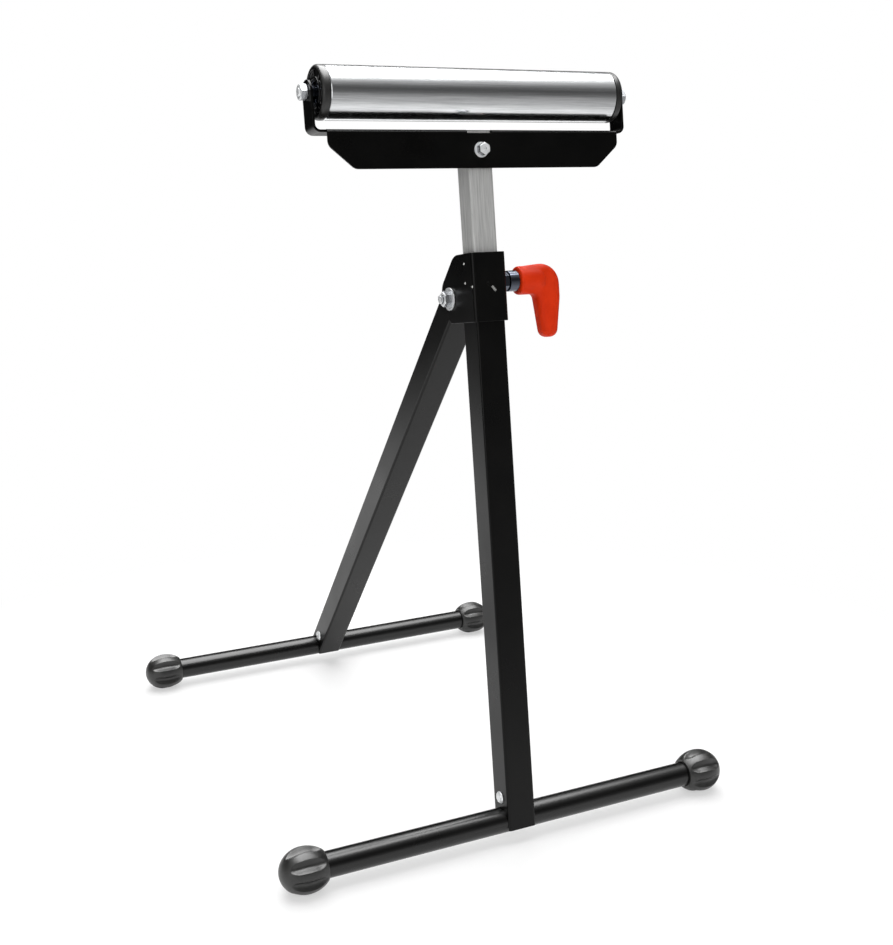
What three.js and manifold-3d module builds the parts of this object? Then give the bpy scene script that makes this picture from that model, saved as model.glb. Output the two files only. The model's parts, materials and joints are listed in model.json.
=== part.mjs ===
// A folding roller stand for a workshop: two legs on foot tubes, a height post and a steel roller.
// Millimetres, +Z up. The origin is on the floor, midway between the two foot tubes.
// Heights along the front leg are measured from the axis of its foot tube.

import * as THREE from 'three';
import { mergeVertices } from 'three/addons/utils/BufferGeometryUtils.js';
import Module from 'manifold-3d';

const wasm = await Module();
wasm.setup();

// Clearances
const seatGap = 0.3; // between pieces that touch on the real stand
const holeGap = 0.4; // round a bolt or screw in its hole
const stopGap = 0.4; // between the open rear leg and its stop

// Stance
const footSpread = 535; // between the two foot tubes
const postLean = THREE.MathUtils.degToRad(7.5); // of the front leg, backwards

// Legs and foot tubes
const legWidth = 30;
const legWall = 1.5;
const legCorner = 2.5;
const legSkirt = 7.5; // the front wall below the foot tube's axis
const footDiameter = 25;
const footWall = 1.5;
const footLength = 454;
const rivetHeight = 23; // above the foot tube's axis
const rivetShank = 6;
const rivetHead = 13;
const rivetDome = 2.6;
const rivetShoulder = 9.4; // diameter where the dome turns down
const rivetShoulderHeight = 2.1;

// Ball caps on the foot tubes
const capDiameter = 44;
const capReach = 24; // from the ball's middle to its outer end
const capMouth = 30; // diameter at the tube's side
const capMouthReach = 20; // from the ball's middle to that side
const capFlat = 12; // the flat that rests on the floor
const capInset = 5; // the tube's end past the ball's middle
const fluteCount = 7;
const fluteDepth = 3.4;
const fluteLength = 37;

// Hinge bracket and the rear leg's pivot
const bracketSheet = 2.5;
const bracketBend = 4;
const bracketHeight = 64.5;
const bracketDrop = 24; // its bottom below the pin
const pivotHeight = 514; // the pin above the front foot tube's axis
const pivotGap = 19; // the pin behind the front leg's back
const pivotOffset = 6; // the rear leg's axis behind the pin, when folded
const pivotDiameter = 8;
const pivotSleeve = 12;
const pivotWasher = 22;
const pivotWasherThickness = 1.6;
const pivotHex = 13;
const pivotHeadHeight = 5.3;
const pivotNutHeight = 6.5;
const pivotTail = 3; // the bolt's end past its nut
const cheekEdge = 21.5; // from the pin to the slanted edge
const cheekTail = 10; // the slanted edge past the pin
const cheekFoot = 4; // the bottom edge's end behind the pin
const cheekTopRound = 18;
const cheekTailRound = 14;
const cheekFootRound = 9;

// Clamp through the right cheek
const clampRise = 13; // its axis above the pin
const clampThread = 10;
const clampNutHex = 17;
const clampNutThickness = 8;
const clampCollar = 20;
const clampCollarLength = 10;
const clampStem = 20; // the screw inside the handle
const hubDiameter = 27.4;
const hubLength = 22;
const hubChamfer = 1.5;
const leverReach = 43.5; // from the hub's end to the lever's outer side
const leverInner = 18.5; // from the hub's end to the lever's inner side
const leverTop = 16.6;
const leverDrop = 54.5; // from the screw's axis to the lever's tip
const leverTip = 15.5; // width at the tip
const leverThickness = 20;
const leverRound = 7;
const leverElbow = 20; // radius of the upper outer corner
const leverCrook = 5; // radius of the inner corner
const leverBack = 24; // radius where the outer side starts to taper
const leverTaper = 18; // that corner below the screw's axis
const leverTipRound = 7.7;
const leverInset = 1; // the lever's root inside the hub

// Height post
const postGap = 1; // between the post and the leg's inside
const postWall = 1.5;
const postCorner = 2;
const dropTravel = 50; // down to the stop

// Roller and its axle
const rollerHeight = 700; // the roller's axis, in the pictured position
const rollerDiameter = 48;
const rollerLength = 294;
const rollerWall = 2;
const endCapRim = 7;
const endCapPlug = 15;
const endCapRound = 2.5;
const endCapRecess = 2;
const bearingOuter = 22;
const bearingInner = 8;
const bearingWidth = 7;
const bearingInset = 0.8;
const bearingRing = 1.4;
const ballCount = 7;
const ballDiameter = 3.9;
const cageWidth = 1.8;
const cageThickness = 1.2;
const axleDiameter = 8;
const spacerDiameter = 13;
const axleSideGap = 4.7; // between the roller's end and the bracket's arm
const axleHex = 13;
const axleNutHeight = 8;
const axleShort = 0.5; // the axle's end inside its nut

// Roller bracket and head plate
const stripWidth = 21.4;
const stripSheet = 2.4;
const stripBend = 7;
const armRound = 10.5;
const plateSheet = 1.8;
const plateBend = 3.2;
const plateLength = 300;
const plateHeight = 35;
const plateCut = 24; // the cut lower corners, along
const plateRise = 20.5; // and up
const plateRound = 8;
const rollerGap = 9.5; // between the roller and the plate's top
const postTabDrop = 1; // the post's front wall below the plate's top, where it shows in the bend
const headBoltDrop = 18.5; // below the plate's top
const headThread = 6;
const headHex = 10;
const headHeadHeight = 4;
const headNutHeight = 5;
const headTail = 2;
const headWasher = 15;
const headWasherThickness = 1.6;

// Cutting and edges
const over = 1; // how far a cutting shape runs past the piece
const chamfer = 1; // on the ends of turned pieces

// Facets
const rollerSteps = 40;
const tubeSteps = 24;
const rodSteps = 16;
const bendSteps = 2;
const outlineSteps = 4;
const capSteps = 42;
const capRings = 7;
const hexSides = 6;

// Worked-out sizes
const capRadius = capDiameter / 2;
const footRadius = footDiameter / 2;
const rollerRadius = rollerDiameter / 2;
const footHeight = Math.sqrt(capRadius ** 2 - (capFlat / 2) ** 2);
const postWidth = legWidth - 2 * (legWall + postGap);
const pivotBack = legWidth / 2 + pivotGap;
const legOffset = legWidth / 2 - legWall - footRadius - seatGap; // leg's axis behind its foot tube
const bracketInside = legWidth / 2 + seatGap;
const bracketOutside = bracketInside + bracketSheet;
const bracketBottom = pivotHeight - bracketDrop;
const bracketTop = bracketBottom + bracketHeight;
const clampHeight = pivotHeight + clampRise;
const plateTop = rollerHeight - rollerRadius - rollerGap;
const plateBottom = plateTop - plateHeight;
const plateInside = postWidth / 2 + seatGap;
const plateOutside = plateInside + plateSheet;
const postTop = plateTop - stripSheet - seatGap;
const postBottom = rivetHeight + rivetShank / 2 + seatGap + dropTravel;
const rollerEnd = rollerLength / 2;
const endCapFace = rollerEnd + seatGap + endCapRim;
const armInside = endCapFace + axleSideGap;
const armOutside = armInside + stripSheet;
const headBoltHeight = plateTop - headBoltDrop;

// Materials
function finish(color, roughness, metalness) {
  return new THREE.MeshStandardMaterial({ color, roughness, metalness });
}
const blackCoat = finish(0x0d0d0e, 0.38, 0.1);
const brightSteel = finish(0xc9cbcc, 0.22, 1);
const galvanised = finish(0xa3a6a6, 0.42, 1);
const zinc = finish(0xc3c8cb, 0.3, 1);
const blackPlastic = finish(0x141414, 0.5, 0);
const redPlastic = finish(0xd53a12, 0.4, 0);

const mergeDistance = 1e-3;

// A geometry as a solid that can be joined and cut.
function solidOf(geometry) {
  const bare = new THREE.BufferGeometry();
  const source = geometry.index ? geometry.toNonIndexed() : geometry;
  bare.setAttribute('position', source.getAttribute('position'));
  const merged = mergeVertices(bare, mergeDistance);
  const vertProperties = new Float32Array(merged.getAttribute('position').array);
  const triVerts = new Uint32Array(merged.index.array);
  return new wasm.Manifold(new wasm.Mesh({ numProp: 3, vertProperties, triVerts }));
}

// The geometry of a joined or cut solid.
function geometryOf(solid) {
  const mesh = solid.getMesh();
  const geometry = new THREE.BufferGeometry();
  geometry.setAttribute('position', new THREE.BufferAttribute(mesh.vertProperties, 3));
  geometry.setIndex(new THREE.BufferAttribute(mesh.triVerts, 1));
  const flat = geometry.toNonIndexed();
  flat.computeVertexNormals();
  return flat;
}

function cut(geometry, ...tools) {
  const start = solidOf(geometry);
  return geometryOf(tools.reduce((solid, tool) => solid.subtract(solidOf(tool)), start));
}

function join(geometry, ...others) {
  const start = solidOf(geometry);
  return geometryOf(others.reduce((solid, other) => solid.add(solidOf(other)), start));
}

function common(geometry, ...others) {
  const start = solidOf(geometry);
  return geometryOf(others.reduce((solid, other) => solid.intersect(solidOf(other)), start));
}

function box(fromX, toX, fromY, toY, fromZ, toZ) {
  const geometry = new THREE.BoxGeometry(toX - fromX, toY - fromY, toZ - fromZ);
  return geometry.translate((fromX + toX) / 2, (fromY + toY) / 2, (fromZ + toZ) / 2);
}

// An outline from corners [across, up, radius], each rounded where it has a radius.
function outline(corners) {
  const shape = new THREE.Shape();
  const spot = (i) => new THREE.Vector2(...corners.at(i % corners.length));
  corners.forEach(([across, up, radius = 0], i) => {
    const here = new THREE.Vector2(across, up);
    const toLast = spot(i - 1).sub(here).normalize();
    const toNext = spot(i + 1).sub(here).normalize();
    const half = Math.acos(THREE.MathUtils.clamp(toLast.dot(toNext), -1, 1)) / 2;
    const reach = radius / Math.tan(half);
    const start = here.clone().addScaledVector(toLast, reach);
    const end = here.clone().addScaledVector(toNext, reach);
    if (i === 0) shape.moveTo(start.x, start.y);
    else shape.lineTo(start.x, start.y);
    if (radius === 0) return;
    const middle = toLast.clone().add(toNext).normalize();
    const centre = here.clone().addScaledVector(middle, radius / Math.sin(half));
    const from = start.sub(centre).angle();
    const to = end.sub(centre).angle();
    shape.absarc(centre.x, centre.y, radius, from, to, toNext.cross(toLast) < 0);
  });
  shape.closePath();
  return shape;
}

// An outline pushed up along +Z.
function upright(shape, depth, steps = bendSteps) {
  return new THREE.ExtrudeGeometry(shape, { depth, bevelEnabled: false, curveSegments: steps });
}

// An outline drawn in (Y, Z), pushed along X and centred on it.
function sideways(shape, depth, steps = bendSteps) {
  const axes = new THREE.Matrix4().makeBasis(
    new THREE.Vector3(0, 1, 0),
    new THREE.Vector3(0, 0, 1),
    new THREE.Vector3(1, 0, 0),
  );
  return upright(shape, depth, steps).applyMatrix4(axes).translate(-depth / 2, 0, 0);
}

// An outline drawn in (X, Z), pushed along Y and centred on it.
function facing(shape, depth, steps = bendSteps) {
  return upright(shape, depth, steps).rotateX(Math.PI / 2).translate(0, depth / 2, 0);
}

function squareOutline(width, corner) {
  const half = width / 2;
  return outline([
    [-half, -half, corner],
    [half, -half, corner],
    [half, half, corner],
    [-half, half, corner],
  ]);
}

// A square tube along Z.
function squareTube(width, wall, corner, from, to) {
  const shape = squareOutline(width, corner);
  shape.holes.push(squareOutline(width - 2 * wall, Math.max(corner - wall, wall / 2)));
  return upright(shape, to - from).translate(0, 0, from);
}

// A turned piece along X, from [along, radius] points: outwards, along, and back in.
function turned(points, steps = rodSteps) {
  const profile = points.map(([along, radius]) => new THREE.Vector2(radius, along));
  return new THREE.LatheGeometry(profile, steps).rotateZ(-Math.PI / 2);
}

function rod(from, to, radius, steps = rodSteps) {
  return turned([[from, 0], [from, radius], [to, radius], [to, 0]], steps);
}

function ring(from, to, inner, outer, steps = rodSteps) {
  return turned([[from, inner], [from, outer], [to, outer], [to, inner], [from, inner]], steps);
}

// A hexagon along X, as wide as its spanner.
function hexagon(from, to, spanner) {
  const radius = spanner / Math.sqrt(3);
  return turned([[from, 0], [from, radius], [to, radius], [to, 0]], hexSides);
}

// A bolt along X: the head's seat is at 0, the shank runs to the minus side.
function bolt(thread, length, spanner, headHeight) {
  const head = hexagon(0, headHeight, spanner);
  return join(head, rod(-length, headHeight / 2, thread / 2));
}

// A nut along X, on the minus side of 0.
function nut(thread, thickness, spanner) {
  return cut(hexagon(-thickness, 0, spanner), rod(-thickness - over, over, thread / 2 + holeGap));
}

const stand = new THREE.Group();

function piece(parent, name, geometry, material, x = 0, y = 0, z = 0) {
  const mesh = new THREE.Mesh(geometry, material);
  mesh.name = name;
  mesh.position.set(x, y, z);
  parent.add(mesh);
  return mesh;
}

// Leg tubes: notched over the foot tube, with the front wall carried down in front of it.
function legTube(length) {
  const tube = squareTube(legWidth, legWall, legCorner, -legSkirt, length);
  const reach = legWidth;
  const footRoom = footRadius + seatGap;
  const footBore = rod(-reach, reach, footRoom, tubeSteps).translate(0, -legOffset, 0);
  const underFoot = box(-reach, reach, -legOffset - footRoom, reach, -reach, 0);
  const rivetHole = rod(-reach, reach, rivetShank / 2 + holeGap).translate(0, 0, rivetHeight);
  return cut(tube, footBore, underFoot, rivetHole);
}

function rivet() {
  const seat = legWidth / 2 + seatGap;
  const shank = rivetShank / 2;
  const head = rivetHead / 2;
  const shoulder = rivetShoulder / 2;
  return turned([
    [-seat - rivetDome, 0],
    [-seat - rivetShoulderHeight, shoulder],
    [-seat, head],
    [-seat, shank],
    [seat, shank],
    [seat, head],
    [seat + rivetShoulderHeight, shoulder],
    [seat + rivetDome, 0],
  ]);
}

// Foot tubes and their ball caps
function footTube() {
  return ring(-footLength / 2, footLength / 2, footRadius - footWall, footRadius, tubeSteps);
}

function ballCap() {
  const points = [[-capMouthReach, 0]];
  const startAngle = -Math.acos(capMouth / capDiameter);
  const backReach = -capMouthReach / Math.sin(startAngle);
  for (let i = 0; i <= capRings; i += 1) {
    const angle = startAngle + (Math.PI / 2 - startAngle) * (i / capRings);
    const reach = angle < 0 ? backReach : capReach;
    points.push([reach * Math.sin(angle), i < capRings ? capRadius * Math.cos(angle) : 0]);
  }
  const ball = turned(points, capSteps);
  const place = ball.getAttribute('position');
  for (let i = 0; i < place.count; i += 1) {
    const along = place.getX(i) / (fluteLength / 2);
    const around = Math.atan2(place.getY(i), place.getZ(i));
    const depth = fluteDepth * Math.max(0, Math.cos(fluteCount * around)) * Math.max(0, 1 - along ** 2);
    const shrink = 1 - depth / capRadius;
    place.setXYZ(i, place.getX(i), place.getY(i) * shrink, place.getZ(i) * shrink);
  }
  const socket = rod(-capDiameter, capInset + seatGap, footRadius + seatGap, tubeSteps);
  const floor = box(-capDiameter, capDiameter, -capDiameter, capDiameter, -capDiameter, -footHeight);
  return cut(ball, socket, floor);
}

function foot(parent, prefix, y, z) {
  const capPlace = footLength / 2 - capInset;
  piece(parent, `${prefix}_foot_tube`, footTube(), blackCoat, 0, y, z);
  const left = piece(parent, `${prefix}_foot_cap_left`, ballCap(), blackPlastic, -capPlace, y, z);
  left.rotation.z = Math.PI;
  piece(parent, `${prefix}_foot_cap_right`, ballCap(), blackPlastic, capPlace, y, z);
}

// Front leg: its group stands on the foot tube's axis and leans back.
const frontLeg = new THREE.Group();
frontLeg.position.set(0, -footSpread / 2, footHeight);
frontLeg.rotation.x = -postLean;
stand.add(frontLeg);
const post = new THREE.Group();
post.position.y = legOffset;
frontLeg.add(post);

foot(stand, 'front', -footSpread / 2, footHeight);

const clampHole = rod(0, legWidth, clampThread / 2 + holeGap).translate(0, 0, clampHeight);
piece(post, 'front_leg', cut(legTube(bracketTop), clampHole), blackCoat);
piece(post, 'front_leg_rivet', rivet(), zinc, 0, 0, rivetHeight);

// Rear leg: its group sits on the pivot pin, and its axis lies behind the pin.
const pinY = -footSpread / 2
  + (legOffset + pivotBack) * Math.cos(postLean) + pivotHeight * Math.sin(postLean);
const pinZ = footHeight
  - (legOffset + pivotBack) * Math.sin(postLean) + pivotHeight * Math.cos(postLean);
const rearFootY = pivotOffset - legOffset;
const rearRun = Math.hypot(footSpread / 2 - pinY, pinZ - footHeight);
const rearLength = Math.sqrt(rearRun ** 2 - rearFootY ** 2);
const rearLean = Math.atan2(footSpread / 2 - pinY, pinZ - footHeight)
  - Math.atan2(rearFootY, rearLength);
const openAngle = postLean + rearLean;
const stopRoom = pivotGap - stopGap;
const rearTop = (stopRoom - (legWidth / 2 - pivotOffset) * Math.cos(openAngle)) / Math.sin(openAngle);

const rearLeg = new THREE.Group();
rearLeg.position.set(0, pinY, pinZ);
rearLeg.rotation.x = rearLean;
stand.add(rearLeg);

const sleeveHole = rod(-legWidth, legWidth, pivotSleeve / 2 + seatGap)
  .translate(0, -pivotOffset, rearLength);
const rearTube = cut(legTube(rearLength + rearTop), sleeveHole);
piece(rearLeg, 'rear_leg', rearTube, blackCoat, 0, pivotOffset, -rearLength);
piece(rearLeg, 'rear_leg_rivet', rivet(), zinc, 0, pivotOffset, rivetHeight - rearLength);
const sleeve = ring(-legWidth / 2, legWidth / 2, pivotDiameter / 2 + holeGap, pivotSleeve / 2);
piece(rearLeg, 'pivot_sleeve', sleeve, zinc);
foot(stand, 'rear', footSpread / 2, footHeight);

// Hinge bracket: a folded U in plan, trimmed to its outline from the side.
function hingeBracket() {
  const back = pivotBack + cheekEdge + cheekTail;
  const front = -bracketOutside;
  const plan = outline([
    [-bracketOutside, front, bracketBend],
    [bracketOutside, front, bracketBend],
    [bracketOutside, back],
    [bracketInside, back],
    [bracketInside, front + bracketSheet, bracketBend - bracketSheet],
    [-bracketInside, front + bracketSheet, bracketBend - bracketSheet],
    [-bracketInside, back],
    [-bracketOutside, back],
  ]);
  const folded = upright(plan, bracketHeight).translate(0, 0, bracketBottom);
  const across = Math.sin(openAngle);
  const along = Math.cos(openAngle);
  const edgeY = pivotBack + cheekEdge * along;
  const edgeZ = pivotHeight + cheekEdge * across;
  const topY = edgeY - (bracketTop - edgeZ) * (across / along);
  const profile = outline([
    [front - over, bracketBottom],
    [pivotBack + cheekFoot, bracketBottom, cheekFootRound],
    [edgeY + cheekTail * across, edgeZ - cheekTail * along, cheekTailRound],
    [topY, bracketTop, cheekTopRound],
    [front - over, bracketTop],
  ]);
  const pinHole = rod(-legWidth, legWidth, pivotDiameter / 2 + holeGap)
    .translate(0, pivotBack, pivotHeight);
  return cut(common(folded, sideways(profile, 4 * legWidth, outlineSteps)), pinHole, clampHole);
}
piece(post, 'hinge_bracket', hingeBracket(), blackCoat);

// Pivot fasteners: the head on the right, the nut on the left.
const pivotSeat = bracketOutside + seatGap;
const pivotHeadSeat = pivotSeat + pivotWasherThickness + seatGap;
const pivotShank = 2 * pivotHeadSeat + pivotNutHeight + pivotTail;
const pivotBolt = bolt(pivotDiameter, pivotShank, pivotHex, pivotHeadHeight);
piece(post, 'pivot_bolt', pivotBolt, zinc, pivotHeadSeat, pivotBack, pivotHeight);
const pivotNut = nut(pivotDiameter, pivotNutHeight, pivotHex);
piece(post, 'pivot_nut', pivotNut, zinc, -pivotHeadSeat, pivotBack, pivotHeight);
const pivotRing = ring(0, pivotWasherThickness, pivotDiameter / 2 + holeGap, pivotWasher / 2, tubeSteps);
const leftWasherX = -pivotSeat - pivotWasherThickness;
piece(post, 'pivot_washer_left', pivotRing, zinc, leftWasherX, pivotBack, pivotHeight);
piece(post, 'pivot_washer_right', pivotRing.clone(), zinc, pivotSeat, pivotBack, pivotHeight);

// Clamp: the screw turns in a nut on the right cheek and bears on the inner post.
const clampNutX = bracketOutside + seatGap + clampNutThickness;
const clampNut = nut(clampThread, clampNutThickness, clampNutHex);
piece(post, 'clamp_nut', clampNut, zinc, clampNutX, 0, clampHeight);

const collarX = clampNutX + seatGap;
const collarEnd = collarX + clampCollarLength;
const hubX = collarEnd + seatGap;
function clampScrew() {
  const thread = clampThread / 2;
  const tip = postWidth / 2 + seatGap;
  const collar = clampCollar / 2;
  return turned([
    [tip, 0],
    [tip, thread - chamfer],
    [tip + chamfer, thread],
    [collarX, thread],
    [collarX, collar - chamfer],
    [collarX + chamfer, collar],
    [collarEnd - chamfer, collar],
    [collarEnd, collar - chamfer],
    [collarEnd, thread],
    [hubX + clampStem, thread],
    [hubX + clampStem, 0],
  ]);
}
piece(post, 'clamp_screw', clampScrew(), zinc, 0, 0, clampHeight);

function clampHandle() {
  const hub = hubDiameter / 2;
  const barrel = turned([
    [0, 0],
    [0, hub - hubChamfer],
    [hubChamfer, hub],
    [hubLength, hub],
    [hubLength, 0],
  ], tubeSteps);
  const root = hubLength / 2;
  const middle = (leverInner + leverReach) / 2;
  const shape = outline([
    [root, leverInset - hub],
    [leverInner, leverInset - hub, leverCrook],
    [middle - leverTip / 2, -leverDrop, leverTipRound],
    [middle + leverTip / 2, -leverDrop, leverTipRound],
    [leverReach, -leverTaper, leverBack],
    [leverReach, leverTop, leverElbow],
    [root, hub - leverInset],
  ]);
  const lever = new THREE.ExtrudeGeometry(shape, {
    depth: leverThickness - 2 * leverRound,
    bevelThickness: leverRound,
    bevelSize: leverRound,
    bevelOffset: -leverRound,
    bevelSegments: bendSteps,
    curveSegments: outlineSteps,
  });
  lever.rotateX(Math.PI / 2).translate(0, leverThickness / 2 - leverRound, 0);
  const stemHole = rod(-over, clampStem + seatGap, clampThread / 2 + seatGap);
  return cut(join(barrel, lever), stemHole);
}
piece(post, 'clamp_handle', clampHandle(), redPlastic, hubX, 0, clampHeight);

// Height post: three walls end under the roller bracket, the front wall shows in the plate's slot.
function innerPost() {
  const half = postWidth / 2;
  const tube = squareTube(postWidth, postWall, postCorner, postBottom, plateTop - postTabDrop);
  const aboveBracket = box(-postWidth, postWidth, postWall - half, postWidth, postTop, plateTop);
  const boltHole = rod(-postWidth, postWidth, headThread / 2 + holeGap)
    .rotateZ(Math.PI / 2)
    .translate(0, 0, headBoltHeight);
  return cut(tube, aboveBracket, boltHole);
}
piece(post, 'inner_post', innerPost(), galvanised);

// Head plate: its top is bent back to the roller bracket's strip, its lower corners are cut.
function headPlate() {
  const half = plateLength / 2;
  const back = -stripWidth / 2 - seatGap;
  const section = outline([
    [-plateOutside, plateBottom],
    [-plateInside, plateBottom],
    [-plateInside, plateTop - plateSheet, plateBend - plateSheet],
    [back, plateTop - plateSheet],
    [back, plateTop],
    [-plateOutside, plateTop, plateBend],
  ]);
  const front = outline([
    [plateCut - half, plateBottom, plateRound],
    [half - plateCut, plateBottom, plateRound],
    [half, plateBottom + plateRise, plateRound],
    [half, plateTop + over],
    [-half, plateTop + over],
    [-half, plateBottom + plateRise, plateRound],
  ]);
  const slotHalf = postWidth / 2 + seatGap;
  const slotBack = postWall + seatGap - postWidth / 2;
  const slotBottom = plateTop - plateBend;
  const slot = box(-slotHalf, slotHalf, -2 * plateOutside, slotBack, slotBottom, plateTop + over);
  const boltHole = rod(-postWidth, 0, headThread / 2 + holeGap)
    .rotateZ(Math.PI / 2)
    .translate(0, 0, headBoltHeight);
  const folded = sideways(section, plateLength + 2 * over);
  const trimmed = common(folded, facing(front, 4 * plateOutside, outlineSteps));
  return cut(trimmed, slot, boltHole);
}
piece(post, 'head_plate', headPlate(), blackCoat);

// Head bolt: the head in front of the plate, the nut behind the post.
const frontSeat = plateOutside + seatGap;
const boltSeat = frontSeat + headWasherThickness + seatGap;
const rearSeat = postWidth / 2 + seatGap;
const nutSeat = rearSeat + headWasherThickness + seatGap;
const headShank = boltSeat + nutSeat + headNutHeight + headTail;
const headFasteners = new THREE.Group();
headFasteners.position.z = headBoltHeight;
headFasteners.rotation.z = -Math.PI / 2;
post.add(headFasteners);
const headBolt = bolt(headThread, headShank, headHex, headHeadHeight);
piece(headFasteners, 'head_bolt', headBolt, zinc, boltSeat);
piece(headFasteners, 'head_nut', nut(headThread, headNutHeight, headHex), zinc, -nutSeat);
const headRing = ring(0, headWasherThickness, headThread / 2 + holeGap, headWasher / 2);
piece(headFasteners, 'head_washer_front', headRing, zinc, frontSeat);
piece(headFasteners, 'head_washer_rear', headRing.clone(), zinc, -nutSeat + seatGap);

// Roller bracket: a strip bent to a U, level with the plate's top, its arms rounded over at the axle.
function rollerBracket() {
  const bottom = plateTop - stripSheet;
  const armTop = rollerHeight + stripWidth;
  const bent = outline([
    [-armOutside, bottom, stripBend],
    [armOutside, bottom, stripBend],
    [armOutside, armTop],
    [armInside, armTop],
    [armInside, plateTop, stripBend - stripSheet],
    [-armInside, plateTop, stripBend - stripSheet],
    [-armInside, armTop],
    [-armOutside, armTop],
  ]);
  const half = stripWidth / 2;
  const side = outline([
    [-half, bottom - over],
    [half, bottom - over],
    [half, rollerHeight + half, armRound],
    [-half, rollerHeight + half, armRound],
  ]);
  const axleHoles = rod(-2 * armOutside, 2 * armOutside, axleDiameter / 2 + holeGap)
    .translate(0, 0, rollerHeight);
  const folded = facing(bent, stripWidth + 2 * over);
  const strip = common(folded, sideways(side, 3 * armOutside, outlineSteps));
  return cut(strip, axleHoles);
}
piece(post, 'roller_bracket', rollerBracket(), blackCoat);

// Roller, bearings and axle, all on the roller's axis
const axis = new THREE.Group();
axis.position.z = rollerHeight;
post.add(axis);

const rollerTube = ring(-rollerEnd, rollerEnd, rollerRadius - rollerWall, rollerRadius, rollerSteps);
piece(axis, 'roller_tube', rollerTube, brightSteel);

const nutStart = armOutside + seatGap;
const nutEnd = nutStart + axleNutHeight;
piece(axis, 'roller_axle', rod(axleShort - nutEnd, nutEnd - axleShort, axleDiameter / 2), zinc);

function endCap() {
  const plug = rollerRadius - rollerWall - seatGap;
  const inner = rollerEnd - endCapPlug;
  const rim = rollerEnd + seatGap;
  const pocket = bearingOuter / 2 + seatGap;
  const pocketFloor = endCapFace - bearingInset - bearingWidth - seatGap;
  const recess = endCapFace - endCapRecess;
  const recessEdge = rollerRadius - 2 * endCapRound;
  const hub = pocket + endCapRound;
  const bore = bearingOuter / 2 - bearingRing;
  const shy = endCapRound * (1 - Math.SQRT1_2); // the middle of the rounded edge
  return turned([
    [inner, bore],
    [inner, plug - chamfer],
    [inner + chamfer, plug],
    [rim, plug],
    [rim, rollerRadius],
    [endCapFace - endCapRound, rollerRadius],
    [endCapFace - shy, rollerRadius - shy],
    [endCapFace, rollerRadius - endCapRound],
    [endCapFace, recessEdge],
    [recess, recessEdge],
    [recess, hub],
    [endCapFace, hub],
    [endCapFace, pocket],
    [pocketFloor, pocket],
    [pocketFloor, bore],
    [inner, bore],
  ], tubeSteps);
}

// The balls of one bearing, held in line by a cage.
function ballSet() {
  const pitch = (bearingOuter + bearingInner) / 4;
  const half = cageWidth / 2;
  const wall = cageThickness / 2;
  const cage = ring(-half, half, pitch - wall, pitch + wall, 2 * ballCount);
  const balls = [];
  for (let i = 0; i < ballCount; i += 1) {
    const turn = (i / ballCount) * 2 * Math.PI;
    const ball = new THREE.OctahedronGeometry(ballDiameter / 2, 1);
    balls.push(ball.translate(0, pitch * Math.sin(turn), pitch * Math.cos(turn)));
  }
  return join(cage, ...balls);
}

for (const [side, facingAway] of [['left', Math.PI], ['right', 0]]) {
  const end = new THREE.Group();
  end.rotation.z = facingAway;
  axis.add(end);
  piece(end, `roller_end_cap_${side}`, endCap(), blackPlastic);

  const bearingEnd = endCapFace - bearingInset;
  const bearingStart = bearingEnd - bearingWidth;
  const outer = bearingOuter / 2;
  const bore = bearingInner / 2 + seatGap;
  const outerRing = ring(bearingStart, bearingEnd, outer - bearingRing, outer, tubeSteps);
  piece(end, `bearing_outer_${side}`, outerRing, zinc);
  const innerRing = ring(bearingStart, bearingEnd, bore, bore + bearingRing - seatGap, tubeSteps);
  piece(end, `bearing_inner_${side}`, innerRing, zinc);
  piece(end, `bearing_balls_${side}`, ballSet(), zinc, bearingEnd - bearingWidth / 2);

  const spacerBore = axleDiameter / 2 + seatGap;
  const spacer = ring(bearingEnd + seatGap, armInside - seatGap, spacerBore, spacerDiameter / 2);
  piece(end, `axle_spacer_${side}`, spacer, zinc);
  piece(end, `axle_nut_${side}`, nut(axleDiameter, axleNutHeight, axleHex), zinc, nutEnd);
}

export default stand;
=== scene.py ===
# Roller stand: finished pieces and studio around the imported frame
import json
import math
import bmesh
import bpy
from mathutils import Matrix, Vector


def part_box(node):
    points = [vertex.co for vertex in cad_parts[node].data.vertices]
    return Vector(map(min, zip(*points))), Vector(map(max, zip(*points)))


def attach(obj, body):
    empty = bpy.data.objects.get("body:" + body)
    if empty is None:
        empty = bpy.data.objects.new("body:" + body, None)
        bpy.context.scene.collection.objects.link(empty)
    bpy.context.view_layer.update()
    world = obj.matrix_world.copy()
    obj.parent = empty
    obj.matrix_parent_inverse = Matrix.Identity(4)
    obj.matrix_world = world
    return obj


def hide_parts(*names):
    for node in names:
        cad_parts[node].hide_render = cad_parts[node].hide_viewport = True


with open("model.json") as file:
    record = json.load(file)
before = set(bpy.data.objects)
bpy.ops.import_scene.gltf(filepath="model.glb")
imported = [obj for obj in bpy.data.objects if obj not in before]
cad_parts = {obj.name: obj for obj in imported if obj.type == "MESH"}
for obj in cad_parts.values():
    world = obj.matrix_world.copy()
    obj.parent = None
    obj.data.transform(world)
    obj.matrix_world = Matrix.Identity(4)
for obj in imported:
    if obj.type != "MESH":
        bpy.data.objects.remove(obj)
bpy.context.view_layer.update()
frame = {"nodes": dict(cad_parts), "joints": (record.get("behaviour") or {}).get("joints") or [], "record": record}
nodes = frame["nodes"]
joints = {joint["name"]: joint for joint in frame["joints"]}
slotOf = {part["node"]: part["material_slot"] for part in frame["record"]["subparts"]}
bodyOf = {node: body for body, members in frame["record"]["behaviour"]["bodies"].items() for node in members}
mm = 0.001
sides = {"left": -1, "right": 1}
print("frame loaded:", len(nodes), "nodes")


# Places: the stand's own directions, read from the frame
acrossX = Vector((1, 0, 0))
backY = Vector((0, 1, 0))
upZ = Vector((0, 0, 1))


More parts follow.
